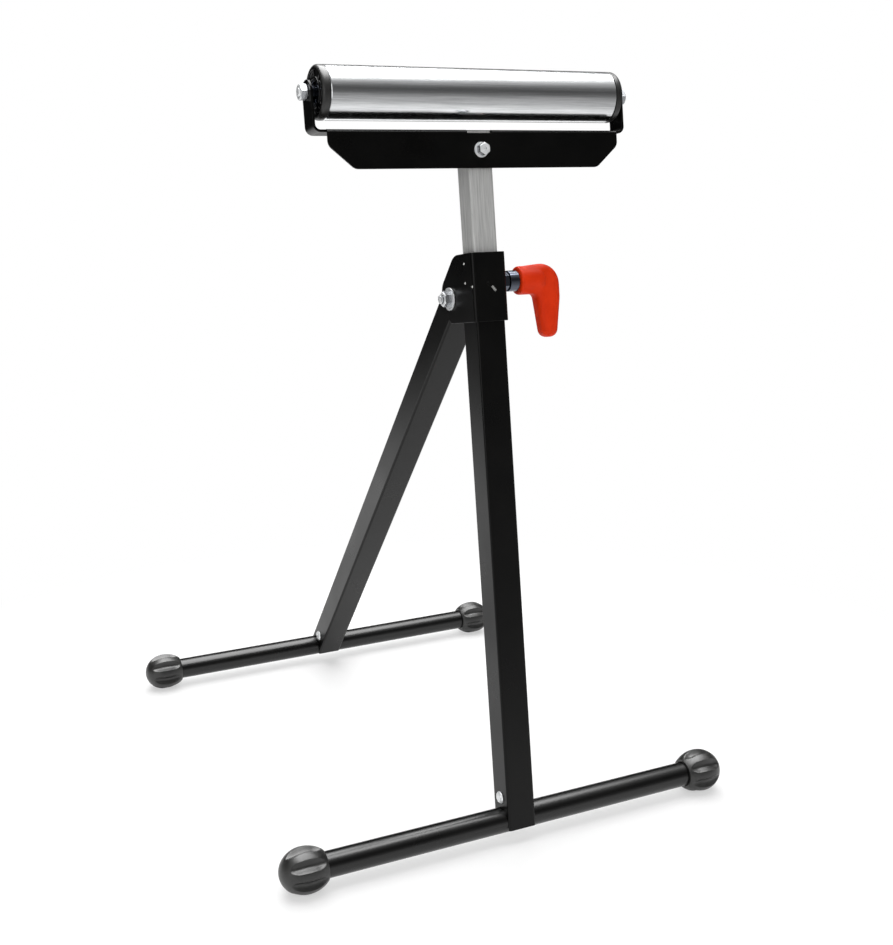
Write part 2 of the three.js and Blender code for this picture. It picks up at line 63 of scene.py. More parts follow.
def middleOf(node):
    low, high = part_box(node)
    return (low + high) / 2


def standing(origin, up):
    turn = Matrix((acrossX, up.cross(acrossX), up)).transposed()
    return Matrix.Translation(origin) @ turn.to_4x4()


def upAlong(node):  # the line that a square tube follows, from its broadest wall
    walls = [face for face in nodes[node].data.polygons if abs(face.normal.x) < 0.5]
    line = acrossX.cross(max(walls, key=lambda face: face.area).normal)
    return line.normalized() * (1 if line.z > 0 else -1)


def localBox(node, place):
    back = place.inverted()
    spots = [back @ vertex.co for vertex in nodes[node].data.vertices]
    return (Vector([min(spot[i] for spot in spots) for i in range(3)]),
            Vector([max(spot[i] for spot in spots) for i in range(3)]))


postPlace = standing(middleOf("front_foot_tube"), upAlong("front_leg"))
rearPlace = standing(middleOf("rear_foot_tube"), upAlong("rear_leg"))
levelPlace = Matrix.Identity(4)


# Shaping tools
planes = {"xy": (acrossX, backY, upZ), "yz": (backY, upZ, acrossX), "xz": (acrossX, upZ, backY)}


def roundCorners(bm, verts, corners, segments):
    spots = [vert.co.copy() for vert in verts]
    for i, (_, _, *radius) in enumerate(corners):
        if radius and radius[0] > 0:
            toLast = spots[i - 1] - spots[i]
            toNext = spots[(i + 1) % len(spots)] - spots[i]
            reach = radius[0] / math.tan(toLast.angle(toNext) / 2)
            bmesh.ops.bevel(bm, geom=[verts[i]], offset=reach, offset_type="OFFSET", affect="VERTICES",
                            segments=segments, profile=0.5, material=-1)


def slab(corners, start, end, plane, segments=8):  # an outline with rounded corners, pushed straight
    first, second, push = planes[plane]
    bm = bmesh.new()
    verts = [bm.verts.new(first * a + second * b + push * start) for a, b, *_ in corners]
    bm.faces.new(verts)
    roundCorners(bm, verts, corners, segments)
    grown = bmesh.ops.extrude_face_region(bm, geom=bm.faces[:])["geom"]
    moved = [part for part in grown if isinstance(part, bmesh.types.BMVert)]
    bmesh.ops.translate(bm, verts=moved, vec=push * (end - start))
    bmesh.ops.recalc_face_normals(bm, faces=bm.faces)
    return bm


def turned(corners, steps=48, segments=5, closed=False):  # (along X, radius, rounding) spun round X
    bm = bmesh.new()
    verts = [bm.verts.new((along, 0, radius)) for along, radius, *_ in corners]
    ends = verts[1:] + verts[:1] if closed else verts[1:]
    for a, b in zip(verts, ends):
        bm.edges.new((a, b))
    roundCorners(bm, verts, corners, segments)
    bmesh.ops.spin(bm, geom=bm.verts[:] + bm.edges[:], cent=(0, 0, 0), axis=acrossX,
                   angle=2 * math.pi, steps=steps, use_merge=True)
    bmesh.ops.remove_doubles(bm, verts=bm.verts, dist=1e-6)
    bmesh.ops.recalc_face_normals(bm, faces=bm.faces)
    return bm


def block(low, high):
    corners = [(low[0], low[1]), (high[0], low[1]), (high[0], high[1]), (low[0], high[1])]
    return slab(corners, low[2], high[2], "xy")


def moved(bm, x=0, y=0, z=0):
    bmesh.ops.translate(bm, verts=bm.verts, vec=(x, y, z))
    return bm


def ontoY(bm):  # from along X to along minus Y
    bmesh.ops.rotate(bm, verts=bm.verts, cent=(0, 0, 0), matrix=Matrix.Rotation(-math.pi / 2, 3, "Z"))
    return bm


def flipped(bm):  # end for end along X
    bmesh.ops.rotate(bm, verts=bm.verts, cent=(0, 0, 0), matrix=Matrix.Rotation(math.pi, 3, "Z"))
    return bm


def joined(*parts):  # loose shells in one mesh
    first = parts[0]
    for part in parts[1:]:
        mesh = bpy.data.meshes.new("part")
        part.to_mesh(mesh)
        part.free()
        first.from_mesh(mesh)
        bpy.data.meshes.remove(mesh)
    return first


def asObject(bm, name="working"):
    mesh = bpy.data.meshes.new(name)
    bm.to_mesh(mesh)
    bm.free()
    made = bpy.data.objects.new(name, mesh)
    bpy.context.scene.collection.objects.link(made)
    return made


def settled(made):  # the mesh with its modifiers applied, as a bmesh again
    graph = bpy.context.evaluated_depsgraph_get()
    mesh = bpy.data.meshes.new_from_object(made.evaluated_get(graph))
    bm = bmesh.new()
    bm.from_mesh(mesh)
    bpy.data.meshes.remove(mesh)
    bpy.data.meshes.remove(made.data)
    return bm


def combined(bm, operation, *tools):
    made = asObject(bm)
    others = [asObject(tool) for tool in tools]
    for other in others:
        step = made.modifiers.new("combine", "BOOLEAN")
        step.operation, step.solver, step.object = operation, "EXACT", other
    result = settled(made)
    for other in others:
        bpy.data.meshes.remove(other.data)
    return result


def softened(bm, width, segments=2, sharp=32):  # every hard edge gets a small round
    bmesh.ops.remove_doubles(bm, verts=bm.verts, dist=0.01 * mm)
    bmesh.ops.dissolve_limit(bm, angle_limit=math.radians(0.4), verts=bm.verts, edges=bm.edges)
    hard = [edge for edge in bm.edges if edge.is_manifold and edge.calc_face_angle() > math.radians(sharp)]
    bmesh.ops.bevel(bm, geom=hard, offset=width, offset_type="OFFSET", affect="EDGES", segments=segments,
                    profile=0.5, clamp_overlap=True, material=-1)
    return bm


def shinyAndShaded(bm, reach=1.0, beyond=0.0):  # marks the faces out to a radius as smoother than the rest of their slot; in plastic and zinc the mark also paints them darker, as painted shade
    shineAndShade = bm.faces.layers.float.new("shineAndShade")
    for face in bm.faces:
        face[shineAndShade] = 1.0 if face.calc_center_median().yz.length < reach else beyond
    return bm


def shinyAndShadedWhere(bm, share, test):  # the same, for the faces that a test picks, with the same painted shade
    shineAndShade = bm.faces.layers.float.new("shineAndShade")
    bm.normal_update()
    for face in bm.faces:
        face[shineAndShade] = share if test(abs(face.normal.x)) else 0.0
    return bm


looks = {}


def addPiece(name, bm, place, node, *others, smooth=40):
    bmesh.ops.transform(bm, matrix=place, verts=bm.verts)
    made = asObject(bm, name)
    made.data.shade_smooth()
    made.data.set_sharp_from_angle(angle=math.radians(smooth))
    made.data.materials.append(looks[slotOf[node]])
    made.modifiers.new("flatsStayFlat", "WEIGHTED_NORMAL").keep_sharp = True
    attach(made, bodyOf[node])
    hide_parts(node, *others)
    return made


# Finishes: effects that several materials share
def newGroup(name, inputs, outputs):
    group = bpy.data.node_groups.new(name, "ShaderNodeTree")
    for label, kind, value in inputs:
        socket = group.interface.new_socket(name=label, in_out="INPUT", socket_type=kind)
        if value is not None:
            socket.default_value = value
    for label, kind in outputs:
        group.interface.new_socket(name=label, in_out="OUTPUT", socket_type=kind)
    return group, group.nodes.new("NodeGroupInput"), group.nodes.new("NodeGroupOutput")


def newNode(tree, kind, values=None, **settings):
    node = tree.nodes.new(kind)
    for name, value in settings.items():
        setattr(node, name, value)
    for socket, value in (values or {}).items():
        node.inputs[socket].default_value = value
    return node


def pebbleGroup():  # the fine skin of powder coat and moulded plastic
    group, start, end = newGroup("pebbleSkin", [
        ("Coordinates", "NodeSocketVector", None), ("Per Metre", "NodeSocketFloat", 900.0),
        ("Detail", "NodeSocketFloat", 2.0)], [("Height", "NodeSocketFloat")])
    noise = newNode(group, "ShaderNodeTexNoise", {"Roughness": 0.55})
    group.links.new(start.outputs["Coordinates"], noise.inputs["Vector"])
    group.links.new(start.outputs["Per Metre"], noise.inputs["Scale"])
    group.links.new(start.outputs["Detail"], noise.inputs["Detail"])
    group.links.new(noise.outputs["Fac"], end.inputs["Height"])
    return group


def drawnGroup():  # lines left along a drawn or rolled tube
    group, start, end = newGroup("drawnLines", [
        ("Coordinates", "NodeSocketVector", None), ("Stretch", "NodeSocketVector", (1.0, 1.0, 1.0)),
        ("Low", "NodeSocketFloat", 0.0), ("High", "NodeSocketFloat", 1.0)],
        [("Value", "NodeSocketFloat")])
    pull = newNode(group, "ShaderNodeVectorMath", operation="MULTIPLY")
    noise = newNode(group, "ShaderNodeTexNoise", {"Scale": 1.0, "Detail": 5.0, "Roughness": 0.65})
    spread = newNode(group, "ShaderNodeMapRange", {"From Min": 0.3, "From Max": 0.7})
    group.links.new(start.outputs["Coordinates"], pull.inputs[0])
    group.links.new(start.outputs["Stretch"], pull.inputs[1])
    group.links.new(pull.outputs["Vector"], noise.inputs["Vector"])
    group.links.new(noise.outputs["Fac"], spread.inputs["Value"])
    group.links.new(start.outputs["Low"], spread.inputs["To Min"])
    group.links.new(start.outputs["High"], spread.inputs["To Max"])
    group.links.new(spread.outputs["Result"], end.inputs["Value"])
    return group


def patchGroup():  # slow change over a surface: handling, uneven plating, a slightly wavy skin
    group, start, end = newGroup("unevenPatches", [
        ("Coordinates", "NodeSocketVector", None), ("Per Metre", "NodeSocketFloat", 60.0),
        ("Low", "NodeSocketFloat", 0.0), ("High", "NodeSocketFloat", 1.0)],
        [("Value", "NodeSocketFloat")])
    noise = newNode(group, "ShaderNodeTexNoise", {"Detail": 3.0, "Roughness": 0.5})
    spread = newNode(group, "ShaderNodeMapRange", {"From Min": 0.3, "From Max": 0.7})
    group.links.new(start.outputs["Coordinates"], noise.inputs["Vector"])
    group.links.new(start.outputs["Per Metre"], noise.inputs["Scale"])
    group.links.new(noise.outputs["Fac"], spread.inputs["Value"])
    group.links.new(start.outputs["Low"], spread.inputs["To Min"])
    group.links.new(start.outputs["High"], spread.inputs["To Max"])
    group.links.new(spread.outputs["Result"], end.inputs["Value"])
    return group


def tintGroup():  # two shades of one colour, mixed by a value
    group, start, end = newGroup("twoShades", [
        ("Value", "NodeSocketFloat", 0.5), ("Dark", "NodeSocketColor", (0, 0, 0, 1)),
        ("Light", "NodeSocketColor", (1, 1, 1, 1))], [("Color", "NodeSocketColor")])
    mix = newNode(group, "ShaderNodeMix", data_type="RGBA", clamp_factor=True)
    group.links.new(start.outputs["Value"], mix.inputs["Factor"])
    group.links.new(start.outputs["Dark"], mix.inputs[6])
    group.links.new(start.outputs["Light"], mix.inputs[7])
    group.links.new(mix.outputs[2], end.inputs["Color"])
    return group


groups = {"pebble": pebbleGroup(), "drawn": drawnGroup(), "patches": patchGroup(), "tint": tintGroup()}


def newLook(slot, **values):
    material = bpy.data.materials.new(slot)
    material.use_nodes = True
    shader = material.node_tree.nodes["Principled BSDF"]
    for socket, value in values.items():
        shader.inputs[socket.replace("_", " ")].default_value = value
    looks[slot] = material
    place = newNode(material.node_tree, "ShaderNodeTexCoord").outputs["Object"]
    return material.node_tree, shader, place


def useGroup(tree, name, place=None, **values):
    node = newNode(tree, "ShaderNodeGroup", node_tree=groups[name])
    for socket, value in values.items():
        node.inputs[socket.replace("_", " ")].default_value = value
    if place is not None:
        tree.links.new(place, node.inputs["Coordinates"])
    return node.outputs[0]


def bumpInto(tree, shader, height, depth, before=None):
    bump = newNode(tree, "ShaderNodeBump", {"Strength": 1.0, "Distance": depth})
    tree.links.new(height, bump.inputs["Height"])
    if before is not None:
        tree.links.new(before, bump.inputs["Normal"])
    tree.links.new(bump.outputs["Normal"], shader.inputs["Normal"])
    return bump.outputs["Normal"]


def shadesInto(tree, shader, value, dark, light):
    shades = useGroup(tree, "tint", Dark=(*dark, 1), Light=(*light, 1))
    tree.links.new(value, shades.node.inputs["Value"])
    tree.links.new(shades, shader.inputs["Base Color"])
    return shades


def blendInto(tree, shader, socket, mark, plain, other):  # another value where a face attribute marks the mesh
    colour = socket == "Base Color"
    first, second, result = (6, 7, 2) if colour else (2, 3, 0)
    mix = newNode(tree, "ShaderNodeMix", {second: (*other, 1) if colour else other},
                  data_type="RGBA" if colour else "FLOAT")
    marked = newNode(tree, "ShaderNodeAttribute", attribute_name=mark)
    tree.links.new(marked.outputs["Fac"], mix.inputs["Factor"])
    if isinstance(plain, float):
        mix.inputs[first].default_value = plain
    else:
        tree.links.new(plain, mix.inputs[first])
    tree.links.new(mix.outputs[result], shader.inputs[socket])


coat = {"dark": (0.0006, 0.0006, 0.0005), "light": (0.0014, 0.0013, 0.0011), "patches": 35.0,
        "smooth": 0.26, "rough": 0.34, "peel": 700.0, "peelDepth": 0.012 * mm, "gloss": 0.2,
        "tubeCoat": 0.5, "tubeRough": 0.26, "bareMetal": (0.62, 0.62, 0.60)}


def blackCoatLook():
    tree, shader, place = newLook("black_coat", Specular_IOR_Level=coat["gloss"], Coat_Roughness=coat["tubeRough"])
    layer = newNode(tree, "ShaderNodeMapRange", {"To Max": coat["tubeCoat"]})  # the foot tubes shine a little more
    marked = newNode(tree, "ShaderNodeAttribute", attribute_name="shineAndShade")
    tree.links.new(marked.outputs["Fac"], layer.inputs["Value"])
    tree.links.new(layer.outputs["Result"], shader.inputs["Coat Weight"])
    patches = useGroup(tree, "patches", place, Per_Metre=coat["patches"])
    painted = shadesInto(tree, shader, patches, coat["dark"], coat["light"])
    blendInto(tree, shader, "Base Color", "bare", painted, coat["bareMetal"])
    rough = useGroup(tree, "patches", place, Per_Metre=coat["patches"] / 2,
                     Low=coat["smooth"], High=coat["rough"])
    tree.links.new(rough, shader.inputs["Roughness"])
    peel = useGroup(tree, "pebble", place, Per_Metre=coat["peel"])
    bumpInto(tree, shader, peel, coat["peelDepth"])


plastic = {"dark": (0.010, 0.010, 0.0095), "light": (0.017, 0.017, 0.016), "patches": 90.0,
           "smooth": 0.35, "rough": 0.45, "grain": 1600.0, "grainDepth": 0.012 * mm, "polishedRough": 0.16,
           "shinyAndShaded": (0.003, 0.003, 0.003), "gloss": 0.6}


def blackPlasticLook():
    tree, shader, place = newLook("black_plastic", Specular_IOR_Level=plastic["gloss"])
    patches = useGroup(tree, "patches", place, Per_Metre=plastic["patches"])
    moulded = shadesInto(tree, shader, patches, plastic["dark"], plastic["light"])
    # painted shade: marked plastic faces get a near-black colour
    blendInto(tree, shader, "Base Color", "shineAndShade", moulded, plastic["shinyAndShaded"])
    rough = useGroup(tree, "patches", place, Per_Metre=plastic["patches"],
                     Low=plastic["smooth"], High=plastic["rough"])
    blendInto(tree, shader, "Roughness", "shineAndShade", rough, plastic["polishedRough"])
    grain = useGroup(tree, "pebble", place, Per_Metre=plastic["grain"])
    bumpInto(tree, shader, grain, plastic["grainDepth"])


red = {"dark": (0.57, 0.025, 0.002), "light": (0.65, 0.032, 0.003), "patches": 70.0,
       "smooth": 0.42, "rough": 0.52, "grain": 1400.0, "grainDepth": 0.014 * mm, "gloss": 0.09}


def redPlasticLook():
    tree, shader, place = newLook("red_plastic", Specular_IOR_Level=red["gloss"])
    patches = useGroup(tree, "patches", place, Per_Metre=red["patches"])
    shadesInto(tree, shader, patches, red["dark"], red["light"])
    rough = useGroup(tree, "patches", place, Per_Metre=red["patches"], Low=red["smooth"], High=red["rough"])
    tree.links.new(rough, shader.inputs["Roughness"])
    grain = useGroup(tree, "pebble", place, Per_Metre=red["grain"])
    bumpInto(tree, shader, grain, red["grainDepth"])


steel = {"dark": (0.55, 0.56, 0.57), "light": (0.80, 0.81, 0.82), "stretch": (14.0, 420.0, 420.0),
         "smooth": 0.13, "rough": 0.24, "wave": 28.0, "waveDepth": 0.1 * mm, "lineDepth": 0.02 * mm}


def brightSteelLook():
    tree, shader, place = newLook("bright_steel", Metallic=1.0)
    lines = useGroup(tree, "drawn", place, Stretch=steel["stretch"])
    shadesInto(tree, shader, lines, steel["dark"], steel["light"])
    rough = useGroup(tree, "drawn", place, Stretch=steel["stretch"], Low=steel["rough"], High=steel["smooth"])
    tree.links.new(rough, shader.inputs["Roughness"])
    wave = useGroup(tree, "patches", place, Per_Metre=steel["wave"])
    wavy = bumpInto(tree, shader, wave, steel["waveDepth"])
    bumpInto(tree, shader, lines, steel["lineDepth"], wavy)


galvanised = {"dark": (0.36, 0.36, 0.355), "light": (0.62, 0.62, 0.61), "stretch": (700.0, 700.0, 22.0),
              "smooth": 0.42, "rough": 0.6, "lineDepth": 0.012 * mm, "metal": 0.5}


def galvanisedLook():
    tree, shader, place = newLook("galvanised", Metallic=galvanised["metal"])
    lean = newNode(tree, "ShaderNodeMapping")  # the lines run up the leaning post
    lean.inputs["Rotation"].default_value = (postPlace.to_euler().x * -1, 0, 0)
    tree.links.new(place, lean.inputs["Vector"])
    lines = useGroup(tree, "drawn", lean.outputs["Vector"], Stretch=galvanised["stretch"])
    shadesInto(tree, shader, lines, galvanised["dark"], galvanised["light"])
    rough = useGroup(tree, "drawn", lean.outputs["Vector"], Stretch=galvanised["stretch"],
                     Low=galvanised["rough"], High=galvanised["smooth"])
    tree.links.new(rough, shader.inputs["Roughness"])
    bumpInto(tree, shader, lines, galvanised["lineDepth"])


zincPlate = {"dark": (0.70, 0.72, 0.73), "light": (0.86, 0.87, 0.88), "patches": 220.0, "metal": 0.42,
             "smooth": 0.26, "rough": 0.36, "grain": 2600.0, "grainDepth": 0.006 * mm,
             "shinyAndShaded": (0.09, 0.10, 0.125), "polishedRough": 0.19}


def zincLook():
    tree, shader, place = newLook("zinc")
    # painted shade and painted dark reflection: marked zinc turns fully metal with a dark blue-grey colour
    blendInto(tree, shader, "Metallic", "shineAndShade", zincPlate["metal"], 1.0)
    patches = useGroup(tree, "patches", place, Per_Metre=zincPlate["patches"])
    plated = shadesInto(tree, shader, patches, zincPlate["dark"], zincPlate["light"])
    blendInto(tree, shader, "Base Color", "shineAndShade", plated, zincPlate["shinyAndShaded"])
    rough = useGroup(tree, "patches", place, Per_Metre=zincPlate["patches"],
                     Low=zincPlate["smooth"], High=zincPlate["rough"])
    blendInto(tree, shader, "Roughness", "shineAndShade", rough, zincPlate["polishedRough"])
    grain = useGroup(tree, "pebble", place, Per_Metre=zincPlate["grain"])
    bumpInto(tree, shader, grain, zincPlate["grainDepth"])


for makeLook in (blackCoatLook, blackPlasticLook, redPlasticLook, brightSteelLook, galvanisedLook, zincLook):
    makeLook()
for node, made in nodes.items():  # the nodes that stay shown wear the finish of their slot
    made.data.materials.clear()
    made.data.materials.append(looks[slotOf[node]])
print("finishes made:", ", ".join(looks))


# Legs: square tube notched over the foot tube, its front wall carried down in front
leg = {"corner": 2.5 * mm, "wall": 1.5 * mm, "footGap": 0.3 * mm, "edge": 0.35 * mm, "rearTrim": 6.0 * mm}


def squareTube(half, corner, wall, bottom, top, middleY=0):
    def ring(reach, radius):
        return [(-reach, middleY - reach, radius), (reach, middleY - reach, radius),
                (reach, middleY + reach, radius), (-reach, middleY + reach, radius)]
    inside = slab(ring(half - wall, max(corner - wall, wall / 2)), bottom - wall, top + wall, "xy", 5)
    return combined(slab(ring(half, corner), bottom, top, "xy", 5), "DIFFERENCE", inside)


def addLeg(node, footNode, place, trim=0):
    low, high = localBox(node, place)
    half = (high.x - low.x) / 2
    footLow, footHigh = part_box(footNode)
    room = (footHigh.z - footLow.z) / 2 + leg["footGap"]
    reach = 2 * half
    tube = squareTube(half, leg["corner"], leg["wall"], low.z + trim, high.z, (low.y + high.y) / 2)
    footBore = turned([(-reach, 0), (-reach, room), (reach, room), (reach, 0)], 64)
    underFoot = block((-reach, -room, -reach), (reach, reach, 0))
    tube = combined(tube, "DIFFERENCE", footBore, underFoot)
    return addPiece(node.replace("_leg", "LegTube"), softened(tube, leg["edge"]), place, node)


addLeg("front_leg", "front_foot_tube", postPlace)
addLeg("rear_leg", "rear_foot_tube", rearPlace, leg["rearTrim"])
print("legs made")


# Rivets through the feet of the legs
rivet = {"shoulder": 9.4 * mm, "shoulderRise": 2.0 * mm, "dome": 2.6 * mm, "shank": 6 * mm, "round": 2.2 * mm}


def addRivet(node, place):
    low, high = localBox(node, place)
    head = (high.z - low.z) / 2
    end = high.x
    seat = end - rivet["dome"]
    profile = [(end, 0), (end, rivet["shoulder"] / 3, 6 * mm),
               (seat + rivet["shoulderRise"], rivet["shoulder"] / 2, rivet["round"]),
               (seat, head, 0.3 * mm), (seat, rivet["shank"] / 2)]
    mirrored = [(-along, *rest) for along, *rest in reversed(profile)]
    bm = turned(profile + mirrored, 40)
    addPiece(node.replace("_leg_rivet", "LegRivet"), moved(bm, 0, (low.y + high.y) / 2, (low.z + high.z) / 2),
             place, node)


addRivet("front_leg_rivet", postPlace)
addRivet("rear_leg_rivet", rearPlace)


# Foot tubes and their ribbed ball caps
footTube = {"wall": 1.5 * mm, "edge": 0.4 * mm}
ballCap = {"ball": 22 * mm, "reach": 24 * mm, "mouth": 15 * mm, "mouthReach": 20 * mm, "lip": 0.8 * mm,
           "socketGap": 0.3 * mm, "flutes": 7, "stepsPerFlute": 32, "fluteDepth": 4.4 * mm,
           "fluteShare": 0.62, "fluteLength": 35 * mm, "fluteEnd": 9 * mm, "rings": 60}


def addFootTube(node):
    low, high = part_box(node)
    outer = (high.z - low.z) / 2
    inner = outer - footTube["wall"]
    edge = footTube["edge"]
    bm = turned([(low.x, inner, edge), (low.x, outer, edge), (high.x, outer, edge), (high.x, inner, edge)],
                64, 3, closed=True)
    middle = (low + high) / 2
    return addPiece(node.replace("_foot_tube", "FootTube"), moved(shinyAndShaded(bm), 0, middle.y, middle.z), levelPlace, node)


def addBallCap(node, tubeNode, side):
    tubeLow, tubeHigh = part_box(tubeNode)
    low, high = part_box(node)
    middle = (tubeLow + tubeHigh) / 2
    socket = (tubeHigh.z - tubeLow.z) / 2 + ballCap["socketGap"]
    outerEnd = high.x if side > 0 else -low.x
    ballX = outerEnd - ballCap["reach"]
    socketEnd = tubeHigh.x - ballX + ballCap["socketGap"]
    ball, mouthReach = ballCap["ball"], ballCap["mouthReach"]
    startAngle = -math.acos(ballCap["mouth"] / ball)
    backReach = -mouthReach / math.sin(startAngle)
    profile = [(socketEnd, 0), (socketEnd, socket), (-mouthReach, socket, 0.4 * mm)]
    for i in range(ballCap["rings"] + 1):
        angle = startAngle + (math.pi / 2 - startAngle) * i / ballCap["rings"]
        along = (backReach if angle < 0 else ballCap["reach"]) * math.sin(angle)
        profile.append((along, ball * math.cos(angle)))
    profile[-1] = (ballCap["reach"], 0)
    bm = turned(profile, ballCap["flutes"] * ballCap["stepsPerFlute"], 3)
    pitch = 2 * math.pi / ballCap["flutes"]
    straight = ballCap["fluteLength"] / 2 - ballCap["fluteEnd"]
    for vert in bm.verts:  # the scooped grooves: sharp sides, rounded ends
        reach = math.hypot(vert.co.y, vert.co.z)
        if reach > socket + 0.5 * mm:
            turn = math.atan2(vert.co.y, vert.co.z) / pitch
            across = (turn - round(turn)) / (ballCap["fluteShare"] / 2)
            along = max(0, abs(vert.co.x) - straight) / ballCap["fluteEnd"]
            scoop = max(0, 1 - across ** 2 - along ** 2)
            shrink = 1 - ballCap["fluteDepth"] * scoop / ball
            vert.co.y *= shrink
            vert.co.z *= shrink
    flat = bmesh.ops.bisect_plane(bm, geom=bm.verts[:] + bm.edges[:] + bm.faces[:], plane_no=-upZ,
                                  plane_co=(0, 0, low.z - middle.z), clear_outer=True)["geom_cut"]
    bmesh.ops.holes_fill(bm, edges=[part for part in flat if isinstance(part, bmesh.types.BMEdge)])
    if side < 0:
        flipped(bm)
    moved(bm, side * ballX, middle.y, middle.z)
    name = node.replace("_foot_cap_", "FootCap")
    addPiece(name, bm, levelPlace, node, smooth=28)


for end in ("front", "rear"):
    addFootTube(end + "_foot_tube")
    for side, sign in sides.items():
        addBallCap(f"{end}_foot_cap_{side}", f"{end}_foot_tube", sign)
print("feet made")


# Hinge bracket: a folded U round the leg's top, with two cheeks for the pivot
bracket = {"sheet": 2.5 * mm, "bend": 4 * mm, "edgeFromPin": 21.5 * mm, "tail": 10 * mm, "foot": 4 * mm,
           "topRound": 18 * mm, "tailRound": 14 * mm, "footRound": 9 * mm, "edge": 0.45 * mm,
           "dent": 1.7 * mm, "dentDepth": 0.55 * mm, "bare": 1.2 * mm, "scarGrey": 0.4}
pin = postPlace.inverted() @ Vector(joints["rear_leg_fold"]["pos_m"])
openAngle = upAlong("front_leg").angle(upAlong("rear_leg"))


def dentAt(spot, facing):  # the small sunk mark of a spot weld
    ball = bmesh.new()
    radius = (bracket["dent"] ** 2 + bracket["dentDepth"] ** 2) / (2 * bracket["dentDepth"])
    bmesh.ops.create_uvsphere(ball, u_segments=24, v_segments=16, radius=radius)
    return moved(ball, *(Vector(spot) + Vector(facing) * (radius - bracket["dentDepth"])))


def addBracket():
    low, high = localBox("hinge_bracket", postPlace)
    half, sheet, bend = high.x, bracket["sheet"], bracket["bend"]
    front, back = low.y, high.y + sheet
    plan = [(-half, front, bend), (half, front, bend), (half, back), (half - sheet, back),
            (half - sheet, front + sheet, bend - sheet), (sheet - half, front + sheet, bend - sheet),
            (sheet - half, back), (-half, back)]
    folded = slab(plan, low.z, high.z, "xy")
    across, along = math.sin(openAngle), math.cos(openAngle)
    edgeY = pin.y + bracket["edgeFromPin"] * along
    edgeZ = pin.z + bracket["edgeFromPin"] * across
    tail = bracket["tail"]
    topY = edgeY - (high.z - edgeZ) * across / along
    cheek = [(front - sheet, low.z), (pin.y + bracket["foot"], low.z, bracket["footRound"]),
             (edgeY + tail * across, edgeZ - tail * along, bracket["tailRound"]),
             (topY, high.z, bracket["topRound"]), (front - sheet, high.z)]
    bm = combined(folded, "INTERSECT", slab(cheek, -2 * half, 2 * half, "yz", 14))
    softened(bm, bracket["edge"], 3)
    marks = [(-half, front + 18 * mm, low.z + 55 * mm), (-half, front + 18 * mm, low.z + 37 * mm),
             (-half, front + 3.4 * mm, low.z + 33 * mm)]
    dents = [dentAt(mark, (-1, 0, 0)) for mark in marks]
    dents += [dentAt((-x, y, z), (1, 0, 0)) for x, y, z in marks[:2]]
    dents.append(dentAt((-2.6 * mm, front, low.z + 35.5 * mm), (0, -1, 0)))
    scar = [((3.3 + step) * mm, front, low.z + (30.5 - 1.3 * step) * mm) for step in (-1.1, 0, 1.1)]
    dents += [dentAt(mark, (0, -1, 0)) for mark in scar]
    bm = combined(bm, "DIFFERENCE", *dents)
    bare = bm.faces.layers.float.new("bare")  # the weld dents are coloured a light grey, fully or partly
    for spots, share in ((scar, bracket["scarGrey"]), (marks, 1.0)):
        for face in bm.faces:
            nearest = min((face.calc_center_median() - Vector(spot)).length for spot in spots)
            if nearest < bracket["bare"]:
                face[bare] = share
    addPiece("hingeBracket", bm, postPlace, "hinge_bracket", smooth=30)


addBracket()
print("bracket made")


# Fasteners
hexagon = {"chamfer": math.radians(30), "topCircle": 0.94, "edge": 0.25 * mm, "shineAndShade": 0.55,
           "clear": 0.5 * mm, "steps": 72}
thread = {"depth": 0.6, "steps": 24, "waist": 0.78}  # depth as a share of the pitch, waist of the radius
pitchOf = {6: 1.0 * mm, 8: 1.25 * mm, 10: 1.5 * mm}


def hexPrism(spanner, start, end, bore=0, dimple=0, chamferStart=True, chamferEnd=True):  # a nut or a bolt's head
    corner = spanner / math.sqrt(3)
    six = [(corner * math.sin(math.pi * i / 3), corner * math.cos(math.pi * i / 3)) for i in range(6)]
    prism = slab(six, start - mm, end + mm, "yz")  # longer than the turned body, so no faces coincide
    circle = spanner / 2 * hexagon["topCircle"]
    beyond = corner + hexagon["clear"]
    drop = (beyond - circle) * math.tan(hexagon["chamfer"])
    rim = [(start, circle), (start + drop, beyond)] if chamferStart else [(start, beyond)]
    rim += [(end - drop, beyond), (end, circle)] if chamferEnd else [(end, beyond)]
    if bore:
        body = turned([(start, bore)] + rim + [(end, bore)], hexagon["steps"], closed=True)
    else:
        sunk = [(end, dimple), (end - dimple / 2, dimple)] if dimple else []
        body = turned([(start, 0)] + rim + sunk + [(end - dimple, 0)], hexagon["steps"])
    return softened(combined(prism, "INTERSECT", body), hexagon["edge"])


def shadedFlats(bm):  # the flats of a nut or bolt head mirror more than its ends do, and are painted darker as painted shade
    return shinyAndShadedWhere(bm, hexagon["shineAndShade"], lambda along: along < 0.5)


